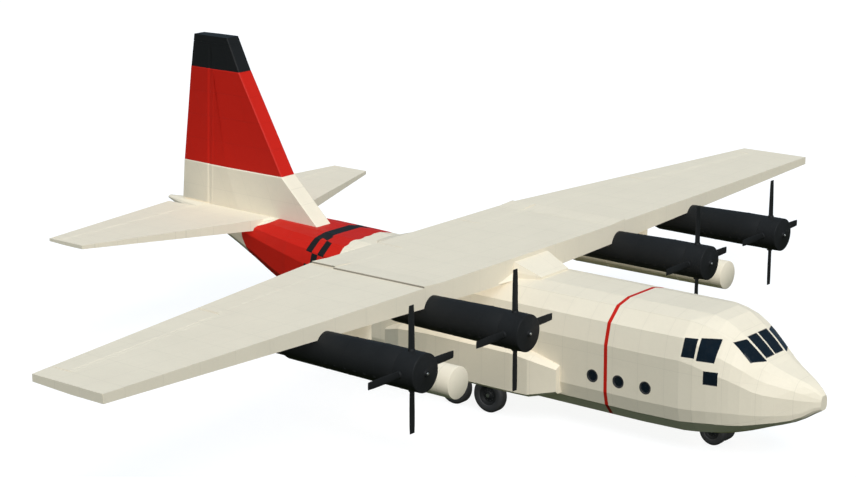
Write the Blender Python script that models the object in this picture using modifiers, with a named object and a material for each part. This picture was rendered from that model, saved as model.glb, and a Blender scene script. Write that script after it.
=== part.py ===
"""A four-engined high-wing military transport plane, parked on its gear, as a half-size model.

Every size below is the real plane's, in metres: X forward from mid-length, Y to port, Z up from
the ground. One parent empty halves the whole, so the model is 20.2 m across the wing.
Each sub-part is one named object. Moving pieces hang from an empty on their joint's axis.
"""

from math import cos, pi, radians, sin, tan

import bmesh
import bpy
from mathutils import Matrix, Vector

# Scale and clearances, in real-plane metres, so half of each on the model
MODEL_SCALE = 0.5
GAP = 0.0006
CLEAR = 0.012
END_CLEAR = 0.03

# Fuselage: a lofted tube of flat-sided sections, squarer below than above
FUSELAGE = (
    # x, half width, top, bottom, squareness
    (-15.0, 0.12, 4.88, 4.75, 2.0),
    (-14.2, 0.35, 4.92, 4.55, 2.2),
    (-13.0, 0.60, 4.94, 4.35, 2.5),
    (-11.0, 1.10, 4.94, 4.00, 2.8),
    (-10.0, 1.30, 4.93, 3.65, 3.0),
    (-9.0, 1.50, 4.92, 3.25, 3.0),
    (-8.0, 1.68, 4.90, 2.80, 3.1),
    (-7.0, 1.85, 4.88, 2.40, 3.2),
    (-5.0, 2.05, 4.83, 1.45, 3.3),
    (-3.0, 2.15, 4.76, 0.58, 3.3),
    (9.2, 2.15, 4.745, 0.58, 3.3),
    (10.76, 2.124, 4.745, 0.615, 3.3),
)
BELLY_SQUARENESS = 0.8
# Where the corners of a section lie, as turns up and down from level, in degrees
ROOF_TURNS = (79.7, 60.0, 32.3, 9.0)
BELLY_TURNS = (12.4, 28.7, 52.7, 79.0)
NOSE_SECTIONS = (
    # x, then y and z of the port half's eight corners, from the roof down to the belly
    (11.25, (0.737, 4.704), (1.379, 4.490), (1.872, 3.952), (2.054, 3.265),
     (2.043, 1.731), (1.945, 1.279), (1.610, 0.872), (0.912, 0.667)),
    (11.72, (0.717, 4.587), (1.352, 4.341), (1.800, 3.725), (1.970, 3.120),
     (1.955, 1.760), (1.870, 1.325), (1.530, 0.930), (0.860, 0.720)),
    (12.10, (0.693, 4.374), (1.293, 4.147), (1.721, 3.575), (1.883, 3.015),
     (1.867, 1.782), (1.784, 1.344), (1.461, 0.999), (0.819, 0.798)),
    (12.45, (0.668, 4.124), (1.225, 3.918), (1.623, 3.428), (1.778, 2.906),
     (1.763, 1.798), (1.677, 1.359), (1.384, 1.079), (0.775, 0.899)),
    (12.80, (0.650, 3.838), (1.155, 3.649), (1.492, 3.245), (1.649, 2.769),
     (1.635, 1.798), (1.552, 1.392), (1.285, 1.164), (0.719, 1.008)),
    (13.15, (0.632, 3.513), (1.070, 3.340), (1.305, 3.021), (1.480, 2.598),
     (1.469, 1.791), (1.395, 1.454), (1.153, 1.258), (0.645, 1.135)),
    (13.45, (0.557, 3.312), (0.910, 3.178), (1.144, 2.887), (1.315, 2.510),
     (1.306, 1.792), (1.240, 1.508), (1.023, 1.341), (0.573, 1.242)),
    (13.80, (0.455, 3.145), (0.723, 3.040), (0.958, 2.777), (1.095, 2.445),
     (1.084, 1.809), (1.029, 1.566), (0.849, 1.433), (0.478, 1.355)),
    (14.20, (0.347, 2.980), (0.540, 2.890), (0.732, 2.663), (0.818, 2.385),
     (0.807, 1.849), (0.763, 1.654), (0.630, 1.560), (0.358, 1.502)),
    (14.50, (0.235, 2.855), (0.399, 2.769), (0.540, 2.554), (0.598, 2.337),
     (0.591, 1.930), (0.554, 1.783), (0.457, 1.707), (0.259, 1.657)),
    (14.80, (0.150, 2.680), (0.250, 2.610), (0.325, 2.436), (0.360, 2.301),
     (0.360, 2.100), (0.330, 1.990), (0.270, 1.910), (0.150, 1.860)),
    (15.00, (0.090, 2.480), (0.140, 2.452), (0.180, 2.380), (0.200, 2.300),
     (0.200, 2.140), (0.180, 2.060), (0.140, 2.000), (0.080, 1.980)),
)
TAIL_END, AFT_JOIN, HOLD_JOIN = -15.0, -10.0, -3.0
COCKPIT_JOIN, RADOME_JOIN, NOSE_TIP = 9.2, 13.8, 15.0
HOLD_WALL = 0.15
COCKPIT_WALL = 0.12
TAIL_WALL = 0.12

# Openings in the fuselage wall
PORTHOLE_X = (7.36, 8.41, 9.48)
PORTHOLE_Z, PORTHOLE_RADIUS = 2.16, 0.20
CREW_DOOR = (9.90, 10.66, 1.13, 2.85)
TROOP_DOOR = (-2.85, -1.95, 1.12, 2.95)
WINDOW_DEPTH = 0.3
COCKPIT_PANES = (
    # name, then the four corners x, y, z on the port side's skin
    ("front", (12.43, 0.04, 4.14), (12.43, 0.61, 4.14), (13.13, 0.56, 3.53), (13.13, 0.035, 3.53)),
    ("corner", (12.47, 0.71, 4.08), (12.26, 1.23, 4.06), (12.91, 1.19, 3.45), (13.21, 0.65, 3.46)),
    ("side", (11.96, 1.38, 4.15), (11.33, 1.66, 4.13), (11.33, 1.99, 3.43), (11.93, 1.83, 3.42)),
    ("rear", (11.26, 1.73, 4.11), (10.83, 1.87, 4.11), (10.80, 2.07, 3.49), (11.26, 1.99, 3.49)),
    ("low", (12.10, 1.85, 3.14), (11.62, 1.99, 3.14), (11.61, 1.99, 2.68), (12.10, 1.88, 2.68)),
)
GLAZING = (10.72, 2.62)
GLASS_THICKNESS = 0.03

# Hold and flight deck
HOLD_FLOOR_Z = 1.05
FLIGHT_DECK_Z = 2.45
FLOOR_THICKNESS = 0.10
SEAT_X, SEAT_Y, SEAT_WIDTH = 11.6, 0.62, 0.50

# Nose-wheel bay
BAY_X = (10.35, 12.20)
BAY_HALF_WIDTH, BAY_ROOF_Z, BAY_WALL = 0.78, 1.40, 0.06

# Ramp and rear cargo door lie in the sloping belly behind the hold
BELLY_SLOPE = radians(24.15)
RAMP_HINGE = (HOLD_JOIN - CLEAR, 0.59)
RAMP_LENGTH, RAMP_THICKNESS, RAMP_HALF_WIDTH = 3.45, 0.39, 1.50
REAR_DOOR_END, REAR_DOOR_THICKNESS, REAR_DOOR_END_HALF_WIDTH = 7.10, 0.28, 1.00
DOOR_SLOT = 0.04

# Lifting surfaces: spanwise stations, and a blunt section with a flat, chamfered front.
# A station's last two columns are its thickness ahead and its thickness at the trailing edge.
WING_TOP_Z = 5.37
WING_KINK_Y, WING_TIP_Y = 5.95, 20.2
WING_STATIONS = (
    # y, leading edge x, trailing edge x, thickness, trailing edge thickness
    (0.0, 3.20, -2.00, 0.87, 0.16),
    (WING_KINK_Y, 3.20, -2.00, 0.70, 0.16),
    (WING_TIP_Y, 2.98, -0.04, 0.30, 0.24),
)
STABILIZER_TOP_Z = 4.94
STABILIZER_STATIONS = (
    # y, leading edge x, trailing edge x, thickness, trailing edge thickness
    (0.0, -8.60, -14.18, 0.46, 0.10),
    (8.06, -11.39, -13.18, 0.14, 0.11),
)
FLAT_TOP_SIDES = (
    # upper and lower side: fraction of chord, fraction of thickness up from the underside
    ((0.0, 0.86), (0.006, 0.95), (0.018, 1.0), (0.60, 1.0)),
    ((0.0, 0.12), (0.018, 0.0), (0.45, 0.0)),
)
FIN_STATIONS = (
    # z, leading edge x, trailing edge x, thickness, trailing edge thickness
    (4.60, -6.36, -14.10, 0.60, 0.15),
    (6.52, -8.39, -13.79, 0.59, 0.19),
    (6.57, -8.44, -13.78, 0.53, 0.19),
    (6.93, -8.78, -13.73, 0.53, 0.20),
    (10.38, -10.59, -13.18, 0.48, 0.28),
    (10.42, -10.60, -13.17, 0.45, 0.28),
    (11.71, -11.22, -12.96, 0.42, 0.30),
)
FIN_SIDES = (
    ((0.0, 0.88), (0.010, 1.0), (0.55, 1.0)),
    ((0.0, 0.12), (0.010, 0.0), (0.55, 0.0)),
)
FLAPS = (
    # name, inner y, outer y
    ("inner", 2.30, 5.86),
    ("outer", 6.04, 12.30),
)
FLAP_HINGE_FRACTION = 0.78
AILERON_Y, AILERON_HINGE_FRACTION = (12.42, 19.35), 0.76
ELEVATOR_Y, ELEVATOR_HINGE_FRACTION = (1.00, 7.86), 0.74
RUDDER_Z, RUDDER_HINGE_X = (5.10, 11.42), (-12.60, -12.28)
STABILIZER_ROOT_Y = 0.50
HINGE_PLACES = (0.12, 0.5, 0.88)
HINGE_WIDTH, FLAP_LUG_HEIGHT = 0.08, 0.06

# Engines, propellers and tanks
ENGINES = (
    # number, y, nacelle tail x, nacelle tail z
    (1, 10.89, -0.10, 4.95),
    (2, 5.58, -0.60, 4.86),
    (3, -5.58, -0.60, 4.86),
    (4, -10.89, -0.10, 4.95),
)
ENGINE_Z, NACELLE_RADIUS, NACELLE_FRONT = 4.455, 0.635, 6.385
NACELLE_BORE = (
    # x, radius
    (3.60, 0.41),
    (5.90, 0.54),
    (7.00, 0.54),
)
SPINNER_BACK, PROPELLER_X, PROPELLER_RADIUS, BLADES = 6.40, 6.65, 2.065, 4
SPINNER_PROFILE = (
    # radius, x
    (0.0, 7.31), (0.05, 7.30), (0.11, 7.22), (0.49, 7.195), (0.595, 7.14), (0.63, 7.04), (0.63, 6.40), (0.0, 6.40),
)
BLADE_STATIONS = (
    # radius, chord, thickness, pitch from the propeller's plane in degrees
    (0.45, 0.20, 0.12, 24),
    (0.80, 0.21, 0.08, 16),
    (1.30, 0.21, 0.05, 9),
    (1.80, 0.20, 0.035, 5),
    (PROPELLER_RADIUS, 0.18, 0.02, 3),
)
TANK_Y, TANK_Z, TANK_RADIUS = 8.24, 3.29, 0.54
TANK_PROFILE = (
    # radius, x
    (0.0, 6.39), (0.48, 6.38), (0.525, 6.32), (0.54, 6.20), (0.54, -0.40), (0.46, -1.30), (0.28, -2.10), (0.0, -2.55),
)
PYLON_X, PYLON_THICKNESS = (-0.30, 2.76), 0.17

# Sponsons and landing gear
SPONSON = (
    # x, outer y, low z, high z
    (6.02, 2.36, 1.27, 2.27),
    (5.00, 2.66, 1.03, 2.52),
    (4.30, 2.70, 1.03, 2.62),
    (0.60, 2.70, 1.03, 2.64),
    (-0.80, 2.60, 1.12, 2.54),
    (-1.75, 2.22, 1.45, 2.25),
)
MAIN_WHEEL_X = (3.09, 1.55)
MAIN_WHEEL_RADIUS, MAIN_WHEEL_Y, MAIN_WHEEL_WIDTH = 0.63, 2.20, 0.42
MAIN_BAY = ((0.80, 1.60, -1.0), (3.84, 2.50, 1.50))
MAIN_AXLE_RADIUS = 0.07
NOSE_GEAR_X, NOSE_WHEEL_RADIUS, NOSE_WHEEL_Y, NOSE_WHEEL_WIDTH = 11.05, 0.495, 0.27, 0.30
NOSE_AXLE_RADIUS = 0.05
NOSE_LEG_BOTTOM_Z = 0.86
WHEEL_PROFILE = (
    # fraction of radius, fraction of half width; the bore closes the loop
    (0.30, 0.80), (0.50, 0.55), (0.58, 0.90), (0.80, 1.0), (0.95, 0.80), (1.0, 0.45),
    (1.0, -0.45), (0.95, -0.80), (0.80, -1.0), (0.58, -0.90), (0.50, -0.55), (0.30, -0.80),
)
AXLE_CLEARANCE = 0.001

MATERIALS = {
    # name: colour, roughness, metallic
    "cream paint": ((0.76, 0.73, 0.62), 0.5, 0.0),
    "red paint": ((0.54, 0.014, 0.008), 0.5, 0.0),
    "black paint": ((0.013, 0.014, 0.015), 0.45, 0.0),
    "window glass": ((0.006, 0.014, 0.026), 0.1, 0.0),
    "tyre rubber": ((0.014, 0.014, 0.014), 0.85, 0.0),
    "bare steel": ((0.35, 0.35, 0.36), 0.35, 1.0),
    "cabin grey": ((0.20, 0.22, 0.22), 0.7, 0.0),
    "seat fabric": ((0.05, 0.07, 0.05), 0.9, 0.0),
}
SIDES = (("left", 1), ("right", -1))


def clear_scene():
    for old in list(bpy.data.objects):
        bpy.data.objects.remove(old, do_unlink=True)


def new_collection(name):
    collection = bpy.data.collections.new(name)
    bpy.context.scene.collection.children.link(collection)
    return collection


def make_materials():
    made = {}
    for name, (colour, roughness, metallic) in MATERIALS.items():
        material = bpy.data.materials.new(name)
        material.use_nodes = True
        shader = material.node_tree.nodes["Principled BSDF"]
        shader.inputs["Base Color"].default_value = (*colour, 1.0)
        shader.inputs["Roughness"].default_value = roughness
        shader.inputs["Metallic"].default_value = metallic
        material.diffuse_color = (*colour, 1.0)
        made[name] = material
    return made


clear_scene()
PARTS = new_collection("military transport plane")
CUTTERS = new_collection("cutters")
PAINT = make_materials()
ROOT = bpy.data.objects.new("half_size_model", None)
PARTS.objects.link(ROOT)
ROOT.scale = (MODEL_SCALE,) * 3


def place(name, mesh, paint, parent=None):
    """Links a mesh as a part, or as a hidden cutter when it has no paint."""
    thing = bpy.data.objects.new(name, mesh)
    thing.parent = parent or ROOT
    if paint:
        mesh.materials.clear()
        mesh.materials.append(PAINT[paint])
        PARTS.objects.link(thing)
    else:
        thing.hide_render = True
        thing.display_type = "WIRE"
        CUTTERS.objects.link(thing)
    return thing


def finish(name, bm, paint=None, smooth=False):
    """Turns a bmesh into a part or a cutter, its faces pointing out."""
    bmesh.ops.recalc_face_normals(bm, faces=bm.faces)
    mesh = bpy.data.meshes.new(name)
    bm.to_mesh(mesh)
    bm.free()
    if smooth:
        mesh.shade_smooth()
        mesh.set_sharp_from_angle(angle=radians(35))
    return place(name, mesh, paint)


def boolean(target, operation, other):
    change = target.modifiers.new(f"{operation.lower()} {other.name}", "BOOLEAN")
    change.operation = operation
    change.solver = "EXACT"
    change.object = other


def cut(target, *cutters):
    for cutter in cutters:
        boolean(target, "DIFFERENCE", cutter)


def hang_from_joint(piece, point):
    """Gives a moving piece a parent empty on its joint's axis."""
    pivot = bpy.data.objects.new(f"{piece.name}_pivot", None)
    PARTS.objects.link(pivot)
    pivot.parent = ROOT
    pivot.location = point
    piece.parent = pivot
    piece.location = Vector(piece.location) - Vector(point)
    return pivot


def interpolate(rows, at):
    """The row at a value of its first column, straight between its neighbours and beyond the ends."""
    for low, high in zip(rows, rows[1:]):
        if at <= high[0] or high is rows[-1]:
            part = (at - low[0]) / (high[0] - low[0])
            return [a + (b - a) * part for a, b in zip(low, high)]


# Basic solids


def add_box(bm, low, high):
    size = [b - a for a, b in zip(low, high)]
    middle = [(a + b) / 2 for a, b in zip(low, high)]
    bmesh.ops.create_cube(bm, size=1.0, matrix=Matrix.Translation(middle) @ Matrix.Diagonal((*size, 1.0)))


def box(name, low, high, paint=None):
    bm = bmesh.new()
    add_box(bm, low, high)
    return finish(name, bm, paint)


def add_hull(bm, points):
    corners = [bm.verts.new(point) for point in points]
    made = bmesh.ops.convex_hull(bm, input=corners)
    loose = {item for key in ("geom_interior", "geom_unused") for item in made[key]}
    bmesh.ops.delete(bm, geom=[item for item in loose if isinstance(item, bmesh.types.BMVert)], context="VERTS")


def hull(name, points, paint=None):
    bm = bmesh.new()
    add_hull(bm, points)
    return finish(name, bm, paint)


def mirrored(points, side):
    return [(x, y * side, z) for x, y, z in points]


def side_prism(name, outline, low_y, high_y, paint=None):
    """An outline in X and Z, drawn out from one Y to another."""
    bm = bmesh.new()
    face = bm.faces.new([bm.verts.new((x, low_y, z)) for x, z in outline])
    drawn = bmesh.ops.extrude_face_region(bm, geom=[face])
    moved = [item for item in drawn["geom"] if isinstance(item, bmesh.types.BMVert)]
    bmesh.ops.translate(bm, verts=moved, vec=(0.0, high_y - low_y, 0.0))
    return finish(name, bm, paint)


def add_rod(bm, start, end, radius, segments=16):
    start, end = Vector(start), Vector(end)
    turn = Vector((0, 0, 1)).rotation_difference(end - start).to_matrix().to_4x4()
    bmesh.ops.create_cone(
        bm, cap_ends=True, segments=segments, radius1=radius, radius2=radius,
        depth=(end - start).length, matrix=Matrix.Translation((start + end) / 2) @ turn,
    )


def rod(name, start, end, radius, paint=None, segments=16):
    bm = bmesh.new()
    add_rod(bm, start, end, radius, segments)
    return finish(name, bm, paint)


def turned(name, profile, axis, origin, steps, paint, closed=False, flat_down=False):
    """Turns a profile of radius and distance along X or Y, given from its far end down, with a Screw."""
    mesh = bpy.data.meshes.new(name)
    edges = [(k, k + 1) for k in range(len(profile) - 1)]
    if closed:
        edges.append((len(profile) - 1, 0))
    mesh.from_pydata([(radius, 0.0, along) for radius, along in profile], edges, [])
    piece = place(name, mesh, paint)
    piece.location = origin
    spin = Matrix.Rotation(pi / steps if flat_down else 0.0, 4, "Z")
    lay = Matrix.Rotation(pi / 2, 4, "Y") if axis == "X" else Matrix.Rotation(-pi / 2, 4, "X")
    piece.rotation_euler = (lay @ spin).to_euler()
    screw = piece.modifiers.new("turn", "SCREW")
    screw.axis = "Z"
    screw.steps = screw.render_steps = steps
    screw.use_merge_vertices = True
    screw.merge_threshold = 0.0001
    screw.use_smooth_shade = True
    return piece


# Lofts


def add_loft(bm, rings):
    """Joins rings of points into a tube, every facet split the same way; returns its rows of vertices."""
    rows = [[bm.verts.new(point) for point in ring] for ring in rings]
    for low, high in zip(rows, rows[1:]):
        for k in range(len(low)):
            after = (k + 1) % len(low)
            bm.faces.new((low[k], low[after], high[after]))
            bm.faces.new((low[k], high[after], high[k]))
    return rows


def solid_loft(name, rings, paint=None, smooth=False):
    bm = bmesh.new()
    rows = add_loft(bm, rings)
    bm.faces.new(rows[0])
    bm.faces.new(list(reversed(rows[-1])))
    return finish(name, bm, paint, smooth)


def tube_loft(name, outer, inner, paint=None, smooth=False):
    """A wall between two lofts, open at both ends."""
    bm = bmesh.new()
    outside, inside = add_loft(bm, outer), add_loft(bm, inner)
    for end in (0, -1):
        for k in range(len(outside[end])):
            after = (k + 1) % len(outside[end])
            bm.faces.new((outside[end][k], outside[end][after], inside[end][after], inside[end][k]))
    return finish(name, bm, paint, smooth)


def section_corners(x):
    """Y and Z of the port half's eight corners at a place along the fuselage, from the roof down."""
    nose_start = FUSELAGE[-1][0]
    if x > nose_start:
        rows = [(row[0], *(value for corner in row[1:] for value in corner)) for row in NOSE_SECTIONS]
        rows.insert(0, (nose_start, *(value for corner in section_corners(nose_start) for value in corner)))
        values = interpolate(rows, x)[1:]
        return list(zip(values[0::2], values[1::2]))
    _, half_width, top, bottom, squareness = interpolate(FUSELAGE, x)
    half_height, middle = (top - bottom) / 2, (top + bottom) / 2
    corners = []
    for turns, side, power in ((ROOF_TURNS, 1, 2 / squareness), (BELLY_TURNS, -1, 2 / (squareness + BELLY_SQUARENESS))):
        for turn in turns:
            y = half_width * cos(radians(turn)) ** power
            corners.append((y, middle + side * half_height * sin(radians(turn)) ** power))
    return corners


def fuselage_ring(x, inset=0.0):
    """A rounded-square section of the fuselage, drawn in by the inset."""
    corners = section_corners(x)
    half_width = max(y for y, _ in corners)
    half_height = (corners[0][1] - corners[-1][1]) / 2
    middle = (corners[0][1] + corners[-1][1]) / 2
    across, up = 1 - inset / half_width, 1 - inset / half_height
    port = [(x, y * across, middle + (z - middle) * up) for y, z in corners]
    return port + [(x, -y, z) for _, y, z in reversed(port)]


def fuselage_rings(back, front, inset=0.0):
    between = [row[0] for row in (*FUSELAGE, *NOSE_SECTIONS) if back < row[0] < front]
    return [fuselage_ring(x, inset) for x in (back, *between, front)]


def fuselage_wall(name, back, front, wall, paint):
    return tube_loft(
        name, fuselage_rings(back, front), fuselage_rings(back, front, wall), paint, smooth=True
    )


class Surface:
    """A wing, stabilizer or fin: where its chord and thickness lie at each place along its span."""

    def __init__(self, stations, sides, upright=False, top=0.0):
        self.stations, self.sides, self.upright, self.top = stations, sides, upright, top

    def point(self, span, x, thickness_fraction, grow=0.0):
        thickness = self.thickness(span)
        off = (thickness_fraction - 0.5) * (thickness + 2 * grow)
        if self.upright:
            return (x, off, span)
        return (x, span, self.top - thickness / 2 + off)

    def thickness(self, span):
        return interpolate(self.stations, abs(span))[3]

    def chord(self, span):
        return interpolate(self.stations, abs(span))[1:3]

    def section(self, span):
        """Upper and lower side at a span, down to its trailing edge."""
        tail = interpolate(self.stations, abs(span))[4] / self.thickness(span)
        high = 0.5 + tail / 2 if self.upright else 1.0
        upper, lower = self.sides
        return (*upper, (1.0, high)), (*lower, (1.0, high - tail))

    def ring(self, span, grow=0.0):
        lead, trail = self.chord(span)
        lead, trail = lead + grow, trail - grow
        upper, lower = self.section(span)
        outline = [*upper, *reversed(lower)]
        return [self.point(span, lead + (trail - lead) * along, up, grow) for along, up in outline]

    def hinge(self, span, fraction=None, x=None):
        """Hinge X at a span, with the lower and upper thickness fractions there and at the trailing edge."""
        lead, trail = self.chord(span)
        if x is None:
            x = lead + (trail - lead) * fraction
        upper, lower = self.section(span)
        there = (lead - x) / (lead - trail)
        return x, trail, (interpolate(lower, there)[1], interpolate(upper, there)[1]), (lower[-1][1], upper[-1][1])


WING = Surface(WING_STATIONS, FLAT_TOP_SIDES, top=WING_TOP_Z)
STABILIZER = Surface(STABILIZER_STATIONS, FLAT_TOP_SIDES, top=STABILIZER_TOP_Z)
FIN = Surface(FIN_STATIONS, FIN_SIDES, upright=True)


def control_ring(surface, span, hinge, round_nose):
    """Section of a flap or rudder: its nose at the hinge, its tail at the trailing edge."""
    x, trail, (low, high), (tail_low, tail_high) = hinge
    tail = [surface.point(span, trail, tail_low), surface.point(span, trail, tail_high)]
    if not round_nose:
        return [surface.point(span, x, low), *tail, surface.point(span, x, high)]
    radius = (high - low) / 2 * surface.thickness(span)
    middle = (low + high) / 2
    nose = []
    for k in range(7):
        turn = pi / 2 + pi * k / 6
        up = middle + (high - low) / 2 * sin(turn)
        nose.append(surface.point(span, x - radius * cos(turn), up))
    return [*nose, *tail]


def control_surface(name, surface, spans, hinges, round_nose, paint):
    rings = [control_ring(surface, span, hinge, round_nose) for span, hinge in zip(spans, hinges)]
    return solid_loft(name, rings, paint, smooth=round_nose)


def control_bay(name, surface, spans, hinges, round_nose):
    """The notch that a control surface turns in, out past the trailing edge."""
    side = -1 if spans[1] < 0 else 1
    corners = []
    for span, hinge, outward in zip(spans, hinges, (-side, side)):
        x, trail, (low, high), _ = hinge
        front = x + CLEAR + ((high - low) / 2 * surface.thickness(span) if round_nose else 0.0)
        for edge in (front, trail - 0.5):
            for up in (-2.0, 3.0):
                corners.append(surface.point(span + outward * END_CLEAR, edge, up))
    return hull(name, corners)


def hinge_lugs(name, surface, spans, hinges, round_nose):
    """Lugs that carry a control surface, from deep in the part ahead of it to just short of its nose."""
    bm = bmesh.new()
    for place_on_span in HINGE_PLACES:
        middle = spans[0] + (spans[1] - spans[0]) * place_on_span
        corners = []
        for span in (middle - HINGE_WIDTH / 2, middle + HINGE_WIDTH / 2):
            part = (span - spans[0]) / (spans[1] - spans[0])
            ends = []
            for end_span, (x, _, (low, high), _) in zip(spans, hinges):
                radius = (high - low) / 2 * surface.thickness(end_span) if round_nose else 0.0
                level = (low + high) / 2 if round_nose else low
                ends.append((Vector(surface.point(end_span, x + radius, level)), radius))
            nose = ends[0][0].lerp(ends[1][0], part)
            radius = ends[0][1] + (ends[1][1] - ends[0][1]) * part
            spread = (-0.5 * radius, 0.5 * radius) if round_nose else (0.006, FLAP_LUG_HEIGHT)
            for x in (nose.x + GAP, nose.x + 0.10):
                for off in spread:
                    corners.append((x, off, span) if surface.upright else (x, span, nose.z + off))
        add_hull(bm, corners)
    return finish(name, bm)


def hinge_line(surface, spans, hinges, round_nose):
    """Two points on the hinge's axis."""
    ends = []
    for span, (x, _, (low, high), _) in zip(spans, hinges):
        ends.append(surface.point(span, x, (low + high) / 2 if round_nose else low))
    return ends


# Cutters that several pieces share


def make_seats():
    """The whole fuselage and the whole wing, a gap larger: what rests on them is cut by them."""
    body = solid_loft("fuselage_seat", fuselage_rings(TAIL_END, NOSE_TIP, -GAP))
    spans = (-WING_TIP_Y, -WING_KINK_Y, 0.0, WING_KINK_Y, WING_TIP_Y)
    wing = solid_loft("wing_seat", [WING.ring(y, GAP) for y in spans])
    return body, wing


FUSELAGE_SEAT, WING_SEAT = make_seats()


# Fuselage


def window_cutter():
    bm = bmesh.new()
    for _, *corners in COCKPIT_PANES:
        for _, side in SIDES:
            points = [Vector(corner) for corner in mirrored(corners, side)]
            normal = (points[1] - points[0]).cross(points[3] - points[0]).normalized()
            add_hull(bm, [point + normal * depth for point in points for depth in (-WINDOW_DEPTH, WINDOW_DEPTH)])
    return finish("window_cutter", bm)


def porthole_cutter():
    bm = bmesh.new()
    for x in PORTHOLE_X:
        for _, side in SIDES:
            add_rod(bm, (x, 1.7 * side, PORTHOLE_Z), (x, 2.5 * side, PORTHOLE_Z), PORTHOLE_RADIUS, 24)
    return finish("porthole_cutter", bm)


def wall_patch(name, wall, doorway, sides, paint):
    """A door: the piece of fuselage wall inside its doorway, clear all round."""
    back, front, low, high = doorway
    patch = fuselage_wall(name, back - 0.5, front + 0.5, wall, paint)
    near, far = sorted((1.0 * sides, 3.0 * sides))
    boolean(patch, "INTERSECT", box(f"{name}_outline", (back + CLEAR, near, low + CLEAR), (front - CLEAR, far, high - CLEAR)))
    return patch


def doorway_cutter(name, doorway, sides):
    back, front, low, high = doorway
    near, far = sorted((1.0 * sides, 3.0 * sides))
    return box(name, (back, near, low), (front, far, high))


def belly_point(along, above):
    """X and Z of a point along the sloping belly from the ramp's hinge, and square above it."""
    x = RAMP_HINGE[0] - along * cos(BELLY_SLOPE) + above * sin(BELLY_SLOPE)
    return x, RAMP_HINGE[1] + along * sin(BELLY_SLOPE) + above * cos(BELLY_SLOPE)


def belly_slab(name, start, end, thickness, half_widths, upright_front=False):
    """A slab of the belly, its ends square to the slope, as points for a hull."""
    corners = []
    for along, half_width in ((start, half_widths[0]), (end, half_widths[1])):
        for above in (-0.6, thickness):
            x, z = belly_point(along, above)
            if upright_front and along == start:
                x, z = RAMP_HINGE[0], belly_point(above * tan(BELLY_SLOPE), above)[1]
            corners += [(x, -half_width, z), (x, half_width, z)]
    return hull(name, corners)


def ramp_widths(room):
    return RAMP_HALF_WIDTH - room, RAMP_HALF_WIDTH - room


def rear_door_widths(room):
    return RAMP_HALF_WIDTH - room, REAR_DOOR_END_HALF_WIDTH - room


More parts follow.
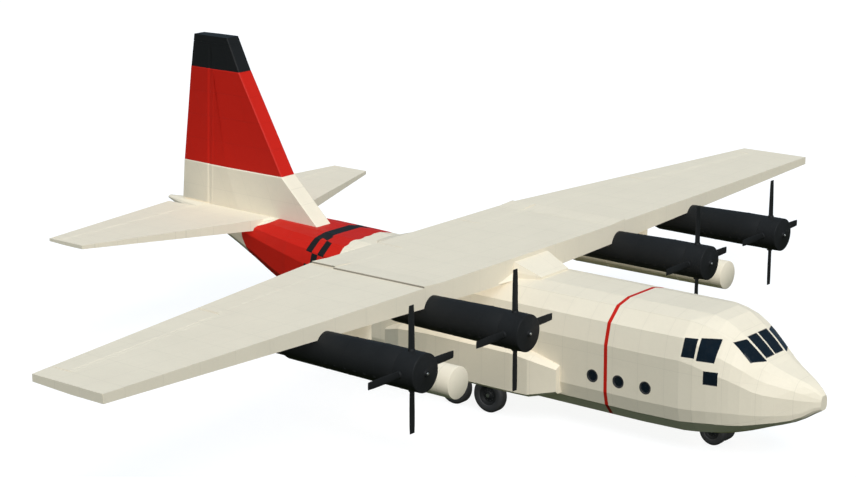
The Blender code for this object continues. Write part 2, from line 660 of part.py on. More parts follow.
def make_fuselage():
    solid_loft("radome", fuselage_rings(RADOME_JOIN + GAP, NOSE_TIP), "cream paint", smooth=True)

    forward = fuselage_wall("forward_fuselage", COCKPIT_JOIN + GAP, RADOME_JOIN, COCKPIT_WALL, "cream paint")
    back, front = BAY_X
    edge = BAY_HALF_WIDTH + BAY_WALL
    well = [
        (back - BAY_WALL, 0.68), (11.0, 0.70), (front + BAY_WALL, 0.92),
        (front + BAY_WALL, BAY_ROOF_Z + BAY_WALL), (back - BAY_WALL, BAY_ROOF_Z + BAY_WALL),
    ]
    boolean(forward, "UNION", side_prism("nose_bay_walls", well, -edge, edge))
    bay = box("nose_bay_cutter", (back, -BAY_HALF_WIDTH, -1.0), (front, BAY_HALF_WIDTH, BAY_ROOF_Z))
    portholes = porthole_cutter()
    cut(forward, bay, window_cutter(), portholes, doorway_cutter("crew_doorway", CREW_DOOR, 1))

    glass_back, glass_low = GLAZING
    glass = tube_loft(
        "cockpit_glazing",
        fuselage_rings(COCKPIT_JOIN, RADOME_JOIN, COCKPIT_WALL + GAP),
        fuselage_rings(COCKPIT_JOIN, RADOME_JOIN, COCKPIT_WALL + GAP + GLASS_THICKNESS),
        "window glass", smooth=True,
    )
    boolean(glass, "INTERSECT", box("glazing_outline", (glass_back, -3.0, glass_low), (13.74, 3.0, 6.0)))

    centre = fuselage_wall("centre_fuselage", HOLD_JOIN, COCKPIT_JOIN, HOLD_WALL, "cream paint")
    cut(centre, portholes)
    for name, side in SIDES:
        cut(centre, doorway_cutter(f"troop_doorway_{name}", TROOP_DOOR, side))
        back, front, low, high = TROOP_DOOR
        patch = fuselage_wall(f"troop_door_{name}", back - 0.05, front + 0.5, HOLD_WALL, "cream paint")
        near, far = sorted((1.0 * side, 3.0 * side))
        room = GAP
        outline = box(f"troop_door_{name}_outline", (back + room, near, low + room), (front - room, far, high - room))
        boolean(patch, "INTERSECT", outline)

    crew = wall_patch("crew_door", COCKPIT_WALL, CREW_DOOR, 1, "cream paint")
    hinge = crew_door_hinge()
    hang_from_joint(crew, hinge)
    for name, off in (("rear", -0.22), ("front", 0.22)):
        low = (hinge[0] + off - 0.05, hinge[1] - 0.12, hinge[2] - CLEAR - 0.05)
        high = (hinge[0] + off + 0.05, hinge[1] - 0.06, hinge[2] - GAP)
        boolean(forward, "UNION", box(f"crew_door_lug_{name}", low, high))

    aft = fuselage_wall("aft_fuselage", AFT_JOIN, HOLD_JOIN - GAP, HOLD_WALL, "cream paint")
    cut(aft, belly_slab("ramp_opening", -0.5, RAMP_LENGTH + DOOR_SLOT, RAMP_THICKNESS + 0.16, ramp_widths(0.0)))
    cut(
        aft,
        belly_slab(
            "rear_door_opening", RAMP_LENGTH, REAR_DOOR_END + CLEAR, REAR_DOOR_THICKNESS + 0.10, rear_door_widths(0.0)
        ),
    )
    for name, side in SIDES:
        x = REAR_DOOR_END_HALF_WIDTH * 0.6 * side
        corners = []
        for along in (REAR_DOOR_END + GAP, REAR_DOOR_END + 0.22):
            for above in (0.03, REAR_DOOR_THICKNESS - 0.02):
                back, up = belly_point(along, above)
                corners += [(back, x - 0.08, up), (back, x + 0.08, up)]
        boolean(aft, "UNION", hull(f"rear_door_lug_{name}", corners))
    ramp = solid_loft("cargo_ramp", fuselage_rings(-8.0, RAMP_HINGE[0]), "cream paint")
    boolean(ramp, "INTERSECT", belly_slab("ramp_outline", 0.0, RAMP_LENGTH, RAMP_THICKNESS, ramp_widths(CLEAR), True))
    hang_from_joint(ramp, (RAMP_HINGE[0], 0.0, RAMP_HINGE[1]))
    door = solid_loft("rear_cargo_door", fuselage_rings(-10.5, -5.0), "cream paint")
    boolean(
        door, "INTERSECT",
        belly_slab(
            "rear_door_outline", RAMP_LENGTH + DOOR_SLOT, REAR_DOOR_END, REAR_DOOR_THICKNESS, rear_door_widths(CLEAR)
        ),
    )
    x, z = belly_point(REAR_DOOR_END, REAR_DOOR_THICKNESS)
    hang_from_joint(door, (x, 0.0, z))

    tail = solid_loft("tail_cone", fuselage_rings(TAIL_END, AFT_JOIN - GAP), "cream paint", smooth=True)
    cut(tail, solid_loft("tail_hollow", fuselage_rings(-13.4, -9.5, TAIL_WALL)))


def crew_door_hinge():
    """Just outboard of the skin at the door's lower edge, so that nothing below it swings in."""
    back, front, low, _ = CREW_DOOR
    ring = sorted((z, y) for _, y, z in fuselage_ring((back + front) / 2) if y > 0)
    y = interpolate(ring, low + CLEAR)[1] + CLEAR
    return ((back + front) / 2, y, low + CLEAR)


# Hold and flight deck


def make_inside():
    beams_low, edge, beam = 0.50, 1.38, (0.90, 1.05)
    top, under = HOLD_FLOOR_Z, HOLD_FLOOR_Z - FLOOR_THICKNESS
    outline = [(edge, under), (edge, top), (-edge, top), (-edge, under)]
    outline += [(-beam[1], under), (-beam[1], beams_low), (-beam[0], beams_low), (-beam[0], under)]
    outline += [(beam[0], under), (beam[0], beams_low), (beam[1], beams_low), (beam[1], under)]
    bm = bmesh.new()
    start, end = RAMP_HINGE[0] + GAP, COCKPIT_JOIN - GAP
    face = bm.faces.new([bm.verts.new((start, y, z)) for y, z in outline])
    drawn = bmesh.ops.extrude_face_region(bm, geom=[face])
    moved = [item for item in drawn["geom"] if isinstance(item, bmesh.types.BMVert)]
    bmesh.ops.translate(bm, verts=moved, vec=(end - start, 0.0, 0.0))
    floor = finish("cargo_floor", bm, "cabin grey")
    boolean(floor, "INTERSECT", solid_loft("hold_space", fuselage_rings(-5.0, COCKPIT_JOIN + 1, HOLD_WALL + GAP)))

    cabin = solid_loft("cabin_space", fuselage_rings(HOLD_JOIN, RADOME_JOIN, COCKPIT_WALL + GAP))
    back = COCKPIT_JOIN + 2 * GAP
    deck = box("flight_deck", (back, -3.0, 0.3), (back + 0.08, 3.0, 5.2), "cabin grey")
    stair_y, stair_x = 0.30, 10.80
    upper = bmesh.new()
    add_box(upper, (back + 0.02, -3.0, FLIGHT_DECK_Z - FLOOR_THICKNESS), (12.98, stair_y, FLIGHT_DECK_Z))
    upper_deck = finish("upper_deck", upper)
    front_deck = box("front_deck", (stair_x, -1.0, FLIGHT_DECK_Z - FLOOR_THICKNESS), (12.98, 3.0, FLIGHT_DECK_Z))
    boolean(upper_deck, "UNION", front_deck)
    lobby_end = BAY_X[0] - BAY_WALL - CLEAR
    lobby = box("lobby_floor", (back + 0.03, -3.0, under), (lobby_end, 3.0, top))
    for piece in (upper_deck, lobby):
        boolean(deck, "UNION", piece)
    boolean(deck, "INTERSECT", cabin)
    cut(deck, box("bulkhead_doorway", (9.0, 0.45, top), (9.6, 1.25, 3.1)))

    panel = [(12.55, 0.0), (12.93, 0.0), (12.93, 0.60), (12.75, 0.90), (12.62, 0.90), (12.50, 0.55)]
    panel = [(x, FLIGHT_DECK_Z + GAP + up) for x, up in panel]
    side_prism("instrument_panel", panel, -1.05, 1.05, "cabin grey")
    seat = [(-0.20, 0.0), (0.20, 0.0), (0.20, 0.34), (0.40, 0.34), (0.40, 0.50), (-0.04, 0.50), (-0.18, 1.30), (-0.32, 1.30), (-0.20, 0.38)]
    seat = [(SEAT_X + x, FLIGHT_DECK_Z + GAP + up) for x, up in seat]
    for name, side in SIDES:
        middle = SEAT_Y * side
        side_prism(f"pilot_seat_{name}", seat, middle - SEAT_WIDTH / 2, middle + SEAT_WIDTH / 2, "seat fabric")


# Wing, tail and their moving surfaces


def make_wing():
    centre = solid_loft(
        "wing_centre", [WING.ring(y) for y in (-WING_KINK_Y + GAP, 0.0, WING_KINK_Y - GAP)], "cream paint", smooth=True
    )
    rear = [(0.2, 4.60), (0.2, 5.30), (-1.90, 5.28)]
    fairing = mirrored([(x, 1.05, z) for x, z in rear] + [(0.2, 1.75, 4.55), (-1.9, 1.60, 4.55), (-3.6, 0.50, 4.60), (-3.6, 0.40, 4.84)], 1)
    boolean(centre, "UNION", hull("rear_fairing", fairing + mirrored(fairing, -1)))
    cut(centre, FUSELAGE_SEAT)
    ramp = [(3.0, 0.99, 5.23), (3.24, 0.99, 5.23), (4.25, 0.80, 4.81), (4.25, 0.80, 4.55), (3.0, 1.08, 4.88), (3.24, 1.08, 4.88)]
    ramp += [(3.24, 1.08, 4.40), (3.0, 1.08, 4.40)]
    wedge = hull("wing_fairing", ramp + mirrored(ramp, -1), "cream paint")
    flare = [(3.0, 0.98, 4.88), (3.22, 0.98, 4.88), (3.45, 0.98, 4.64), (3.0, 1.96, 4.62), (3.22, 1.96, 4.62)]
    flare += [(3.0, 0.98, 4.40), (3.0, 1.80, 4.48)]
    for name, side in SIDES:
        boolean(wedge, "UNION", hull(f"wing_fairing_flare_{name}", mirrored(flare, side)))
    cut(wedge, WING_SEAT, FUSELAGE_SEAT)

    for name, side in SIDES:
        tip = solid_loft(
            f"wing_{name}", [WING.ring(y) for y in sorted((side * (WING_KINK_Y + GAP), side * WING_TIP_Y))], "cream paint", smooth=True
        )
        for part, inner, outer in FLAPS:
            spans = (inner * side, outer * side)
            hinges = [WING.hinge(span, FLAP_HINGE_FRACTION) for span in spans]
            flap = control_surface(f"flap_{name}_{part}", WING, spans, hinges, False, "cream paint")
            carrier = centre if part == "inner" else tip
            cut(carrier, control_bay(f"{flap.name}_bay", WING, spans, hinges, False))
            boolean(carrier, "UNION", hinge_lugs(f"{flap.name}_lugs", WING, spans, hinges, False))
            hang_from_joint(flap, hinge_line(WING, spans, hinges, False)[0])
        spans = tuple(y * side for y in AILERON_Y)
        hinges = [WING.hinge(span, AILERON_HINGE_FRACTION) for span in spans]
        aileron = control_surface(f"aileron_{name}", WING, spans, hinges, True, "cream paint")
        cut(tip, control_bay(f"{aileron.name}_bay", WING, spans, hinges, True))
        boolean(tip, "UNION", hinge_lugs(f"{aileron.name}_lugs", WING, spans, hinges, True))
        hang_from_joint(aileron, hinge_line(WING, spans, hinges, True)[0])


def make_tail():
    fin = solid_loft("fin", [FIN.ring(row[0]) for row in FIN_STATIONS], "red paint", smooth=True)
    hinges = [FIN.hinge(z, x=x) for z, x in zip(RUDDER_Z, RUDDER_HINGE_X)]
    rudder = control_surface("rudder", FIN, RUDDER_Z, hinges, True, "red paint")
    bay = control_bay("rudder_bay", FIN, (4.0, RUDDER_Z[1]), [FIN.hinge(4.0, x=RUDDER_HINGE_X[0] - 0.055), hinges[1]], True)
    cut(fin, bay, FUSELAGE_SEAT)
    boolean(fin, "UNION", hinge_lugs("rudder_lugs", FIN, RUDDER_Z, hinges, True))
    hang_from_joint(rudder, hinge_line(FIN, RUDDER_Z, hinges, True)[0])

    for name, side in SIDES:
        spans = (STABILIZER_ROOT_Y * side, STABILIZER_STATIONS[1][0] * side)
        half = solid_loft(f"stabilizer_{name}", [STABILIZER.ring(span) for span in spans], "cream paint", smooth=True)
        spans = tuple(y * side for y in ELEVATOR_Y)
        hinges = [STABILIZER.hinge(span, ELEVATOR_HINGE_FRACTION) for span in spans]
        elevator = control_surface(f"elevator_{name}", STABILIZER, spans, hinges, True, "cream paint")
        reach = (0.30 * side, spans[1])
        reach_hinges = [STABILIZER.hinge(span, ELEVATOR_HINGE_FRACTION) for span in reach]
        cut(half, control_bay(f"{elevator.name}_bay", STABILIZER, reach, reach_hinges, True), FUSELAGE_SEAT)
        boolean(half, "UNION", hinge_lugs(f"{elevator.name}_lugs", STABILIZER, spans, hinges, True))
        hang_from_joint(elevator, hinge_line(STABILIZER, spans, hinges, True)[0])


# Engines, propellers and tanks


def blade_ring(radius, chord, thickness, pitch):
    """A flat lens across the blade, its chord pitched forward from the propeller's plane."""
    along = Vector((sin(radians(pitch)), cos(radians(pitch)), 0.0))
    across = Vector((cos(radians(pitch)), -sin(radians(pitch)), 0.0))
    lens = ((-0.5, 0.0), (-0.2, 0.5), (0.25, 0.4), (0.5, 0.0), (0.25, -0.4), (-0.2, -0.5))
    return [along * (chord * u) + across * (thickness * v) + Vector((0, 0, radius)) for u, v in lens]


def propeller_mesh():
    """The spinner joined to its blades once; the four propellers share the mesh."""
    profile = [(radius, x - PROPELLER_X) for radius, x in SPINNER_PROFILE]
    spinner = turned("propeller_spinner", profile, "X", (0.0, 0.0, 0.0), 32, None)
    bm = bmesh.new()
    for k in range(BLADES):
        turn = Matrix.Rotation(2 * pi * k / BLADES, 3, "X")
        rows = add_loft(bm, [[turn @ point for point in blade_ring(*row)] for row in BLADE_STATIONS])
        bm.faces.new(rows[0])
        bm.faces.new(list(reversed(rows[-1])))
    blades = finish("propeller_blades", bm)
    boolean(blades, "UNION", spinner)
    bpy.context.view_layer.update()
    return bpy.data.meshes.new_from_object(blades.evaluated_get(bpy.context.evaluated_depsgraph_get()))


def make_engines():
    joined = propeller_mesh()
    for number, y, tail_x, tail_z in ENGINES:
        stations = (
            # x, half width, half height, centre z
            (NACELLE_FRONT, NACELLE_RADIUS - 0.01, NACELLE_RADIUS - 0.01, ENGINE_Z),
            (5.60, 0.605, 0.63, ENGINE_Z),
            (3.20, 0.49, 0.60, ENGINE_Z - 0.015),
            (1.70, 0.47, 0.58, ENGINE_Z - 0.02),
            (tail_x + 1.0, 0.40, 0.46, ENGINE_Z + 0.12),
            (tail_x, 0.14, 0.14, tail_z),
        )
        rings = []
        for x, half_width, half_height, centre_z in stations:
            turns = [2 * pi * (k + 0.5) / 24 for k in range(24)]
            rings.append([(x, y + half_width * cos(turn), centre_z + half_height * sin(turn)) for turn in turns])
        nacelle = solid_loft(f"nacelle_{number}", rings, "black paint", smooth=True)
        bore = []
        for x, radius in NACELLE_BORE:
            turns = [2 * pi * k / 24 for k in range(24)]
            bore.append([(x, y + radius * cos(turn), ENGINE_Z + radius * sin(turn)) for turn in turns])
        cut(nacelle, solid_loft(f"nacelle_{number}_bore", bore), WING_SEAT)
        front, rear = ([interpolate(NACELLE_BORE, x)[1] * cos(pi / 24) - GAP - 0.0004 for x in pair] for pair in ((6.20, 6.12), (3.74, 3.60)))
        profile = (
            (0.0, SPINNER_BACK - GAP), (0.12, SPINNER_BACK - GAP), (0.12, 6.20), (front[0], 6.20), (front[1], 6.12),
            (0.34, 6.12), (0.34, 3.80), (rear[0], 3.74), (rear[1], 3.60 + GAP), (0.0, 3.60 + GAP),
        )
        turned(f"engine_{number}", profile, "X", (0.0, y, ENGINE_Z), 12, "bare steel")
        propeller = place(f"propeller_{number}", joined.copy() if number > 1 else joined, "black paint")
        propeller.location = (PROPELLER_X, y, ENGINE_Z)


def make_tanks():
    for name, side in SIDES:
        y = TANK_Y * side
        tank = turned(f"tank_{name}", TANK_PROFILE, "X", (0.0, y, TANK_Z), 24, "cream paint")
        back, front = PYLON_X
        low, high = sorted((y - PYLON_THICKNESS / 2, y + PYLON_THICKNESS / 2))
        outline = [(back, TANK_Z), (front, TANK_Z), (front, 5.2), (back, 5.2)]
        boolean(tank, "UNION", side_prism(f"tank_pylon_{name}", outline, low, high))
        cut(tank, WING_SEAT)


# Sponsons and landing gear


def make_sponsons():
    low, high = MAIN_BAY
    for name, side in SIDES:
        rings = []
        for x, out, low_z, high_z in SPONSON:
            ring = [(1.55, low_z), (out - 0.12, low_z), (out, low_z + 0.10), (out, high_z - 0.12), (out - 0.22, high_z), (1.55, high_z + 0.04)]
            rings.append([(x, y * side, z) for y, z in ring])
        sponson = solid_loft(f"sponson_{name}", rings, "cream paint")
        near, far = sorted((low[1] * side, high[1] * side))
        cut(sponson, box(f"main_bay_{name}", (low[0], near, low[2]), (high[0], far, high[2])), FUSELAGE_SEAT)


def wheel(name, radius, width, bore, origin, steps):
    """A tyre on its hub, turned about Y, with a flat of its tread on the ground."""
    reach = radius / cos(pi / steps)
    half = width / 2
    profile = [(bore, 0.80 * half)] + [(r * reach, w * half) for r, w in WHEEL_PROFILE] + [(bore, -0.80 * half)]
    return turned(name, profile, "Y", origin, steps, "tyre rubber", closed=True, flat_down=True)


def make_main_gear():
    z = MAIN_WHEEL_RADIUS
    for name, side in SIDES:
        inner, outer = 1.74, MAIN_WHEEL_Y - MAIN_WHEEL_WIDTH / 2 - 0.025
        near, far = sorted((inner * side, outer * side))
        front_x, back_x = MAIN_WHEEL_X
        leg = box(f"main_gear_{name}", (back_x - 0.13, near, 0.92), (front_x + 0.13, far, 1.10), "bare steel")
        reach = (MAIN_WHEEL_Y + 0.40 * MAIN_WHEEL_WIDTH) * side
        for place_name, x in zip(("front", "rear"), MAIN_WHEEL_X):
            post = box(f"main_post_{name}_{place_name}", (x - 0.13, near, z - 0.12), (x + 0.13, far, 1.44))
            boolean(leg, "UNION", post)
            axle = rod(
                f"main_axle_{name}_{place_name}", (x, (inner + 0.05) * side, z), (x, reach, z), MAIN_AXLE_RADIUS, segments=24
            )
            boolean(leg, "UNION", axle)
            wheel(
                f"main_wheel_{name}_{place_name}", MAIN_WHEEL_RADIUS, MAIN_WHEEL_WIDTH,
                MAIN_AXLE_RADIUS + AXLE_CLEARANCE, (x, MAIN_WHEEL_Y * side, z), 28,
            )
        cut(leg, FUSELAGE_SEAT)


def make_nose_gear():
    x, z, top = NOSE_GEAR_X, NOSE_WHEEL_RADIUS, BAY_ROOF_Z - GAP
    leg = rod("nose_gear_leg", (x, 0.0, NOSE_LEG_BOTTOM_Z), (x, 0.0, top), 0.10, "bare steel", 24)
    foot = box("nose_brace_foot", (x + 0.72, -0.12, top - 0.06), (x + 0.95, 0.12, top))
    strut = hull(
        "nose_brace",
        [(x, y, lift) for y in (-0.05, 0.05) for lift in (1.00, 1.10)]
        + [(x + 0.86, y, lift) for y in (-0.05, 0.05) for lift in (top - 0.12, top - 0.03)],
    )
    boolean(leg, "UNION", strut)
    boolean(leg, "UNION", foot)

    fork = rod("nose_fork", (x, 0.0, z - 0.04), (x, 0.0, NOSE_LEG_BOTTOM_Z - GAP), 0.075, "bare steel", 24)
    reach = NOSE_WHEEL_Y + 0.40 * NOSE_WHEEL_WIDTH
    boolean(fork, "UNION", rod("nose_axle", (x, -reach, z), (x, reach, z), NOSE_AXLE_RADIUS, segments=24))
    pivot = hang_from_joint(fork, (x, 0.0, z))
    for name, side in SIDES:
        nose_wheel = wheel(
            f"nose_wheel_{name}", NOSE_WHEEL_RADIUS, NOSE_WHEEL_WIDTH,
            NOSE_AXLE_RADIUS + AXLE_CLEARANCE, (x, NOSE_WHEEL_Y * side, z), 20,
        )
        nose_wheel.parent = pivot
        nose_wheel.location = (0.0, NOSE_WHEEL_Y * side, 0.0)


make_fuselage()
make_inside()
make_wing()
make_tail()
make_engines()
make_tanks()
make_sponsons()
make_main_gear()
make_nose_gear()
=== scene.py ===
"""Dresses the half-size military transport plane: livery, glass, engines, propellers, tanks and wheels."""
from math import cos, pi, radians, sin, sqrt

import bmesh
import bpy
from bpy.props import FloatProperty, FloatVectorProperty, IntProperty, PointerProperty
from mathutils import Matrix, Vector


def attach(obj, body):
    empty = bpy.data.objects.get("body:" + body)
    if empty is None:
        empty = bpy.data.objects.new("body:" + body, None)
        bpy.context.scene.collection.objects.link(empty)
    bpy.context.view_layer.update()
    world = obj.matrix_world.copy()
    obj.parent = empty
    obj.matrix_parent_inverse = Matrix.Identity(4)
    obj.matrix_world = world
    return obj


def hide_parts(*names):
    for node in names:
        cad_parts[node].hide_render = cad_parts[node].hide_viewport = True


bl_info = {
    "name": "Military Transport Plane",
    "version": (1, 0, 0),
    "blender": (4, 5, 0),
    "location": "3D Viewport > Sidebar > Transport Plane",
    "description": "Livery, glass, engines, propellers and gear of a four-engined transport plane",
    "category": "Add Mesh",
}

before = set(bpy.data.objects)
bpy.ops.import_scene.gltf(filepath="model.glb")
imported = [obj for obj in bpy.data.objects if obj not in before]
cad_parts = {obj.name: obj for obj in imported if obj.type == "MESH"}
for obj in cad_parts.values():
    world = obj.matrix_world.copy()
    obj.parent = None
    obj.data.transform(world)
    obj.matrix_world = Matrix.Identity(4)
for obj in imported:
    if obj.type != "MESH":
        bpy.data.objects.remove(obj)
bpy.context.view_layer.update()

# The plane is drawn in metres of the real plane and made half size
MODEL_SCALE = 0.5
SIDES = (("left", 1), ("right", -1))

# Fuselage skin
SKIN_SECTIONS = (
    # x, then y and z of the port half's eight corners, from the roof down to the belly
    (9.20, (0.757, 4.725), (1.412, 4.571), (1.942, 4.086), (2.134, 3.340),
     (2.126, 1.678), (2.016, 1.204), (1.684, 0.796), (0.958, 0.596)),
    (10.76, (0.748, 4.725), (1.395, 4.573), (1.918, 4.092), (2.108, 3.351),
     (2.100, 1.705), (1.992, 1.236), (1.664, 0.833), (0.947, 0.634)),
    (11.25, (0.737, 4.704), (1.379, 4.490), (1.872, 3.952), (2.054, 3.265),
     (2.043, 1.731), (1.945, 1.279), (1.610, 0.872), (0.912, 0.667)),
    (11.72, (0.717, 4.587), (1.352, 4.341), (1.800, 3.725), (1.970, 3.120),
     (1.955, 1.760), (1.870, 1.325), (1.530, 0.930), (0.860, 0.720)),
    (12.10, (0.693, 4.374), (1.293, 4.147), (1.721, 3.575), (1.883, 3.015),
     (1.867, 1.782), (1.784, 1.344), (1.461, 0.999), (0.819, 0.798)),
    (12.45, (0.668, 4.124), (1.225, 3.918), (1.623, 3.428), (1.778, 2.906),
     (1.763, 1.798), (1.677, 1.359), (1.384, 1.079), (0.775, 0.899)),
    (12.80, (0.650, 3.838), (1.155, 3.649), (1.492, 3.245), (1.649, 2.769),
     (1.635, 1.798), (1.552, 1.392), (1.285, 1.164), (0.719, 1.008)),
    (13.15, (0.632, 3.513), (1.070, 3.340), (1.305, 3.021), (1.480, 2.598),
     (1.469, 1.791), (1.395, 1.454), (1.153, 1.258), (0.645, 1.135)),
    (13.45, (0.557, 3.312), (0.910, 3.178), (1.144, 2.887), (1.315, 2.510),
     (1.306, 1.792), (1.240, 1.508), (1.023, 1.341), (0.573, 1.242)),
)

# Paint
PAINT_SPECULAR, RIVET_RADIUS = 0.08, 0.011
SKIN_MIDDLE_Z, SKIN_HALF_WIDTH = 2.65, 2.1
CHECKS_FRONT = -5.02
FIN_RED_Z, FIN_CAP_Z = 6.565, 10.415

# Windows
PANE_STEPS, PANE_OVERLAP, PANE_THICKNESS = 6, 0.022, 0.03
COCKPIT_PANES = (
    # name, then the four corners x, y, z on the port side's skin
    ("front", (12.43, 0.04, 4.14), (12.43, 0.61, 4.14), (13.13, 0.56, 3.53), (13.13, 0.035, 3.53)),
    ("corner", (12.47, 0.71, 4.08), (12.26, 1.23, 4.06), (12.91, 1.19, 3.45), (13.21, 0.65, 3.46)),
    ("side", (11.96, 1.38, 4.15), (11.33, 1.66, 4.13), (11.33, 1.99, 3.43), (11.93, 1.83, 3.42)),
    ("rear", (11.26, 1.73, 4.11), (10.83, 1.87, 4.11), (10.80, 2.07, 3.49), (11.26, 1.99, 3.49)),
    ("low", (12.10, 1.85, 3.14), (11.62, 1.99, 3.14), (11.61, 1.99, 2.68), (12.10, 1.88, 2.68)),
)
PORTHOLE_X = (7.36, 8.41, 9.48)
PORTHOLE_Z = 2.16
PORTHOLE_GLASS = (
    # radius, height over the skin
    (0.0, -0.022), (0.12, -0.024), (0.21, -0.03), (0.21, -0.06), (0.0, -0.06),
)
PORTHOLE_RIM = (
    # radius, height over the skin
    (0.174, -0.045), (0.174, 0.002), (0.18, 0.006), (0.222, 0.006), (0.228, 0.0), (0.228, -0.03),
    (0.196, -0.045),
)

# Engines and propellers
ENGINES = (
    # number, y, nacelle tail x, nacelle tail z
    (1, 10.89, -0.10, 4.95),
    (2, 5.58, -0.60, 4.86),
    (3, -5.58, -0.60, 4.86),
    (4, -10.89, -0.10, 4.95),
)
ENGINE_Z = 4.455
NACELLE_FRONT = (
    # x, half width and half height of the round front ring
    (6.365, 0.565), (6.385, 0.58), (6.384, 0.615),
)
NACELLE_BODY = (
    # x, half width, half height, drop of the centre below the engine's, from the front ring back
    (6.365, 0.624, 0.626, 0.0),
    (5.60, 0.605, 0.63, 0.0),
    (3.20, 0.49, 0.60, 0.015),
    (1.70, 0.47, 0.58, 0.02),
)
COWL_BANDS = (5.60, 4.30, 3.30)
COWL_BAND = (
    # x from the band's middle, height over the cowl
    (-0.03, -0.006), (-0.024, 0.005), (0.024, 0.005), (0.03, -0.006),
)
LATCHES, LATCH_X, LATCH_PITCH, LATCH_ANGLE, LATCH_SIZE = 6, 3.5, 0.42, -28, (0.10, 0.024, 0.04)
EXHAUST_RADII, EXHAUST_Y, EXHAUST_DROP = (0.10, 0.12), 0.18, 0.36
PROPELLER_X, PROPELLER_RADIUS, BLADES, BLADE_STEPS = 6.65, 2.065, 4, 14
SPINNER_BANDS, SPINNER_BOLTS = (6.96, 6.44), 12
SPINNER_PROFILE = (
    # radius, x
    (0.0, 7.285), (0.085, 7.275), (0.11, 7.222), (0.13, 7.212), (0.60, 7.195), (0.618, 7.188),
    (0.628, 7.175), (0.63, 7.15), (0.63, 6.405), (0.56, 6.402), (0.0, 6.402),
)
SPINNER_TIP = ((0.0, 7.27), (0.045, 7.27), (0.045, 7.292), (0.036, 7.306), (0.0, 7.308))
BLADE_CUFF = ((0.58, 0.125), (0.65, 0.12), (0.67, 0.105), (0.69, 0.10))
BLADE_STATIONS = (
    # radius, chord, thickness, pitch from the propeller's plane in degrees
    (0.45, 0.24, 0.12, 14),
    (0.80, 0.27, 0.08, 7),
    (1.30, 0.28, 0.05, 3),
    (1.80, 0.27, 0.035, 1),
    (PROPELLER_RADIUS, 0.24, 0.02, 0),
)

# Tanks under the wing
TANK_Y, TANK_Z = 8.24, 3.29
TANK_PROFILE = (
    # radius, x
    (0.0, 6.388), (0.522, 6.384), (0.534, 6.376), (0.54, 6.36), (0.54, -0.40),
    (0.46, -1.30), (0.28, -2.10), (0.0, -2.54),
)
TANK_HOOPS, FILLER_X = (4.4, 1.2, -0.4), 3.6
FILLER_PROFILE = ((0.075, 0.53), (0.075, 0.545), (0.06, 0.55))
PYLON_X, PYLON_THICKNESS, PYLON_TOP = (-0.30, 2.76), 0.17, 4.74

# Wheels
MAIN_WHEELS = (("front", 3.09), ("rear", 1.55))
MAIN_WHEEL_Y, MAIN_WHEEL_RADIUS, MAIN_WHEEL_WIDTH = 2.20, 0.63, 0.42
NOSE_GEAR_X, NOSE_WHEEL_Y, NOSE_WHEEL_RADIUS, NOSE_WHEEL_WIDTH = 11.05, 0.27, 0.495, 0.30
TYRE_WALL = (
    # share of the radius, share of the half width
    (0.575, 0.80), (0.60, 0.90), (0.68, 0.97), (0.78, 1.0), (0.87, 0.965), (0.94, 0.86), (0.975, 0.72),
)
HUB_DISH = (
    # share of the radius, share of the half width
    (0.16, 0.66), (0.20, 0.60), (0.24, 0.44), (0.40, 0.40), (0.47, 0.62), (0.53, 0.74), (0.585, 0.80),
    (0.59, 0.74), (0.545, 0.66),
)

# Wing joint
WING_TOP_Z, WING_KINK_Y, STEP_HEIGHT = 5.37, 5.95, 0.06

# Front edges
LEADING_EDGES = (
    # z of the top, then y, front x, chord and thickness from root to tip
    (5.37, (0.0, 3.20, 5.20, 0.87), (5.95, 3.20, 5.20, 0.70), (20.19, 2.98, 3.02, 0.30)),
    (4.94, (0.95, -8.929, 5.13, 0.422), (8.05, -11.387, 1.80, 0.141)),
)

# Seals over the hinge gaps
HINGE_SEALS = (
    # z of the top, then y, x behind and x ahead at the inner and at the outer end
    (5.37, (12.40, -0.045, 0.14), (19.37, 0.648, 0.80)),
    (4.94, (0.98, -12.668, -12.54), (7.88, -12.678, -12.59)),
    (5.37, (2.32, -0.875, -0.79), (5.84, -0.875, -0.79)),
    (5.37, (6.06, -0.865, -0.78), (12.28, -0.215, -0.13)),
)

# Fin and rudder
FIN_ROWS = (
    # z, leading edge x, trailing edge x, half thickness, half thickness at the trailing edge
    (4.85, -6.62, -14.06, 0.400, 0.205),
    (6.52, -8.39, -13.86, 0.400, 0.250),
    (6.57, -8.44, -13.85, 0.370, 0.245),
    (10.39, -10.59, -13.27, 0.360, 0.285),
    (10.42, -10.60, -13.26, 0.345, 0.280),
    (11.71, -11.22, -13.05, 0.330, 0.275),
)
RUDDER_FOOT_Z, RUDDER_TOP_Z = 4.965, 11.42

# Pilots' seats
SEAT_X, SEAT_Y, SEAT_WIDTH, FLIGHT_DECK_Z = 11.6, 0.62, 0.50, 2.45
SEAT_BLOCKS = (
    # x behind, x ahead, half width, z low, z high, bevel, from the seat's place on the deck
    (-0.17, 0.17, 0.19, 0.0, 0.05, 0.01),
    (-0.09, 0.09, 0.10, 0.04, 0.32, 0.02),
    (-0.17, 0.38, 0.24, 0.30, 0.37, 0.02),
)
SEAT_PADS = (
    # name, x, z, half length, half width and half depth, lean in degrees
    ("Cushion", 0.12, 0.425, (0.26, 0.225, 0.055), 0.0),
    ("Backrest", -0.135, 0.86, (0.37, 0.215, 0.050), 98.0),
)
CUSHION_RINGS = 15
DIAL_ROWS, DIALS_IN_ROW, DIAL_PITCH = (0.66, 0.81), 12, 0.171

# Lights
KEY_DIRECTION, FILL_COLOUR = (0.545, -0.442, 0.712), (0.97, 0.98, 1.0)
FLOOR_REACH = 400.0

# Camera of the photograph
CAMERA_PLACE = (22.838, -29.165, 12.157)
CAMERA_AZIMUTH, CAMERA_ELEVATION, CAMERA_ROLL = 38.96, 14.336, -0.254


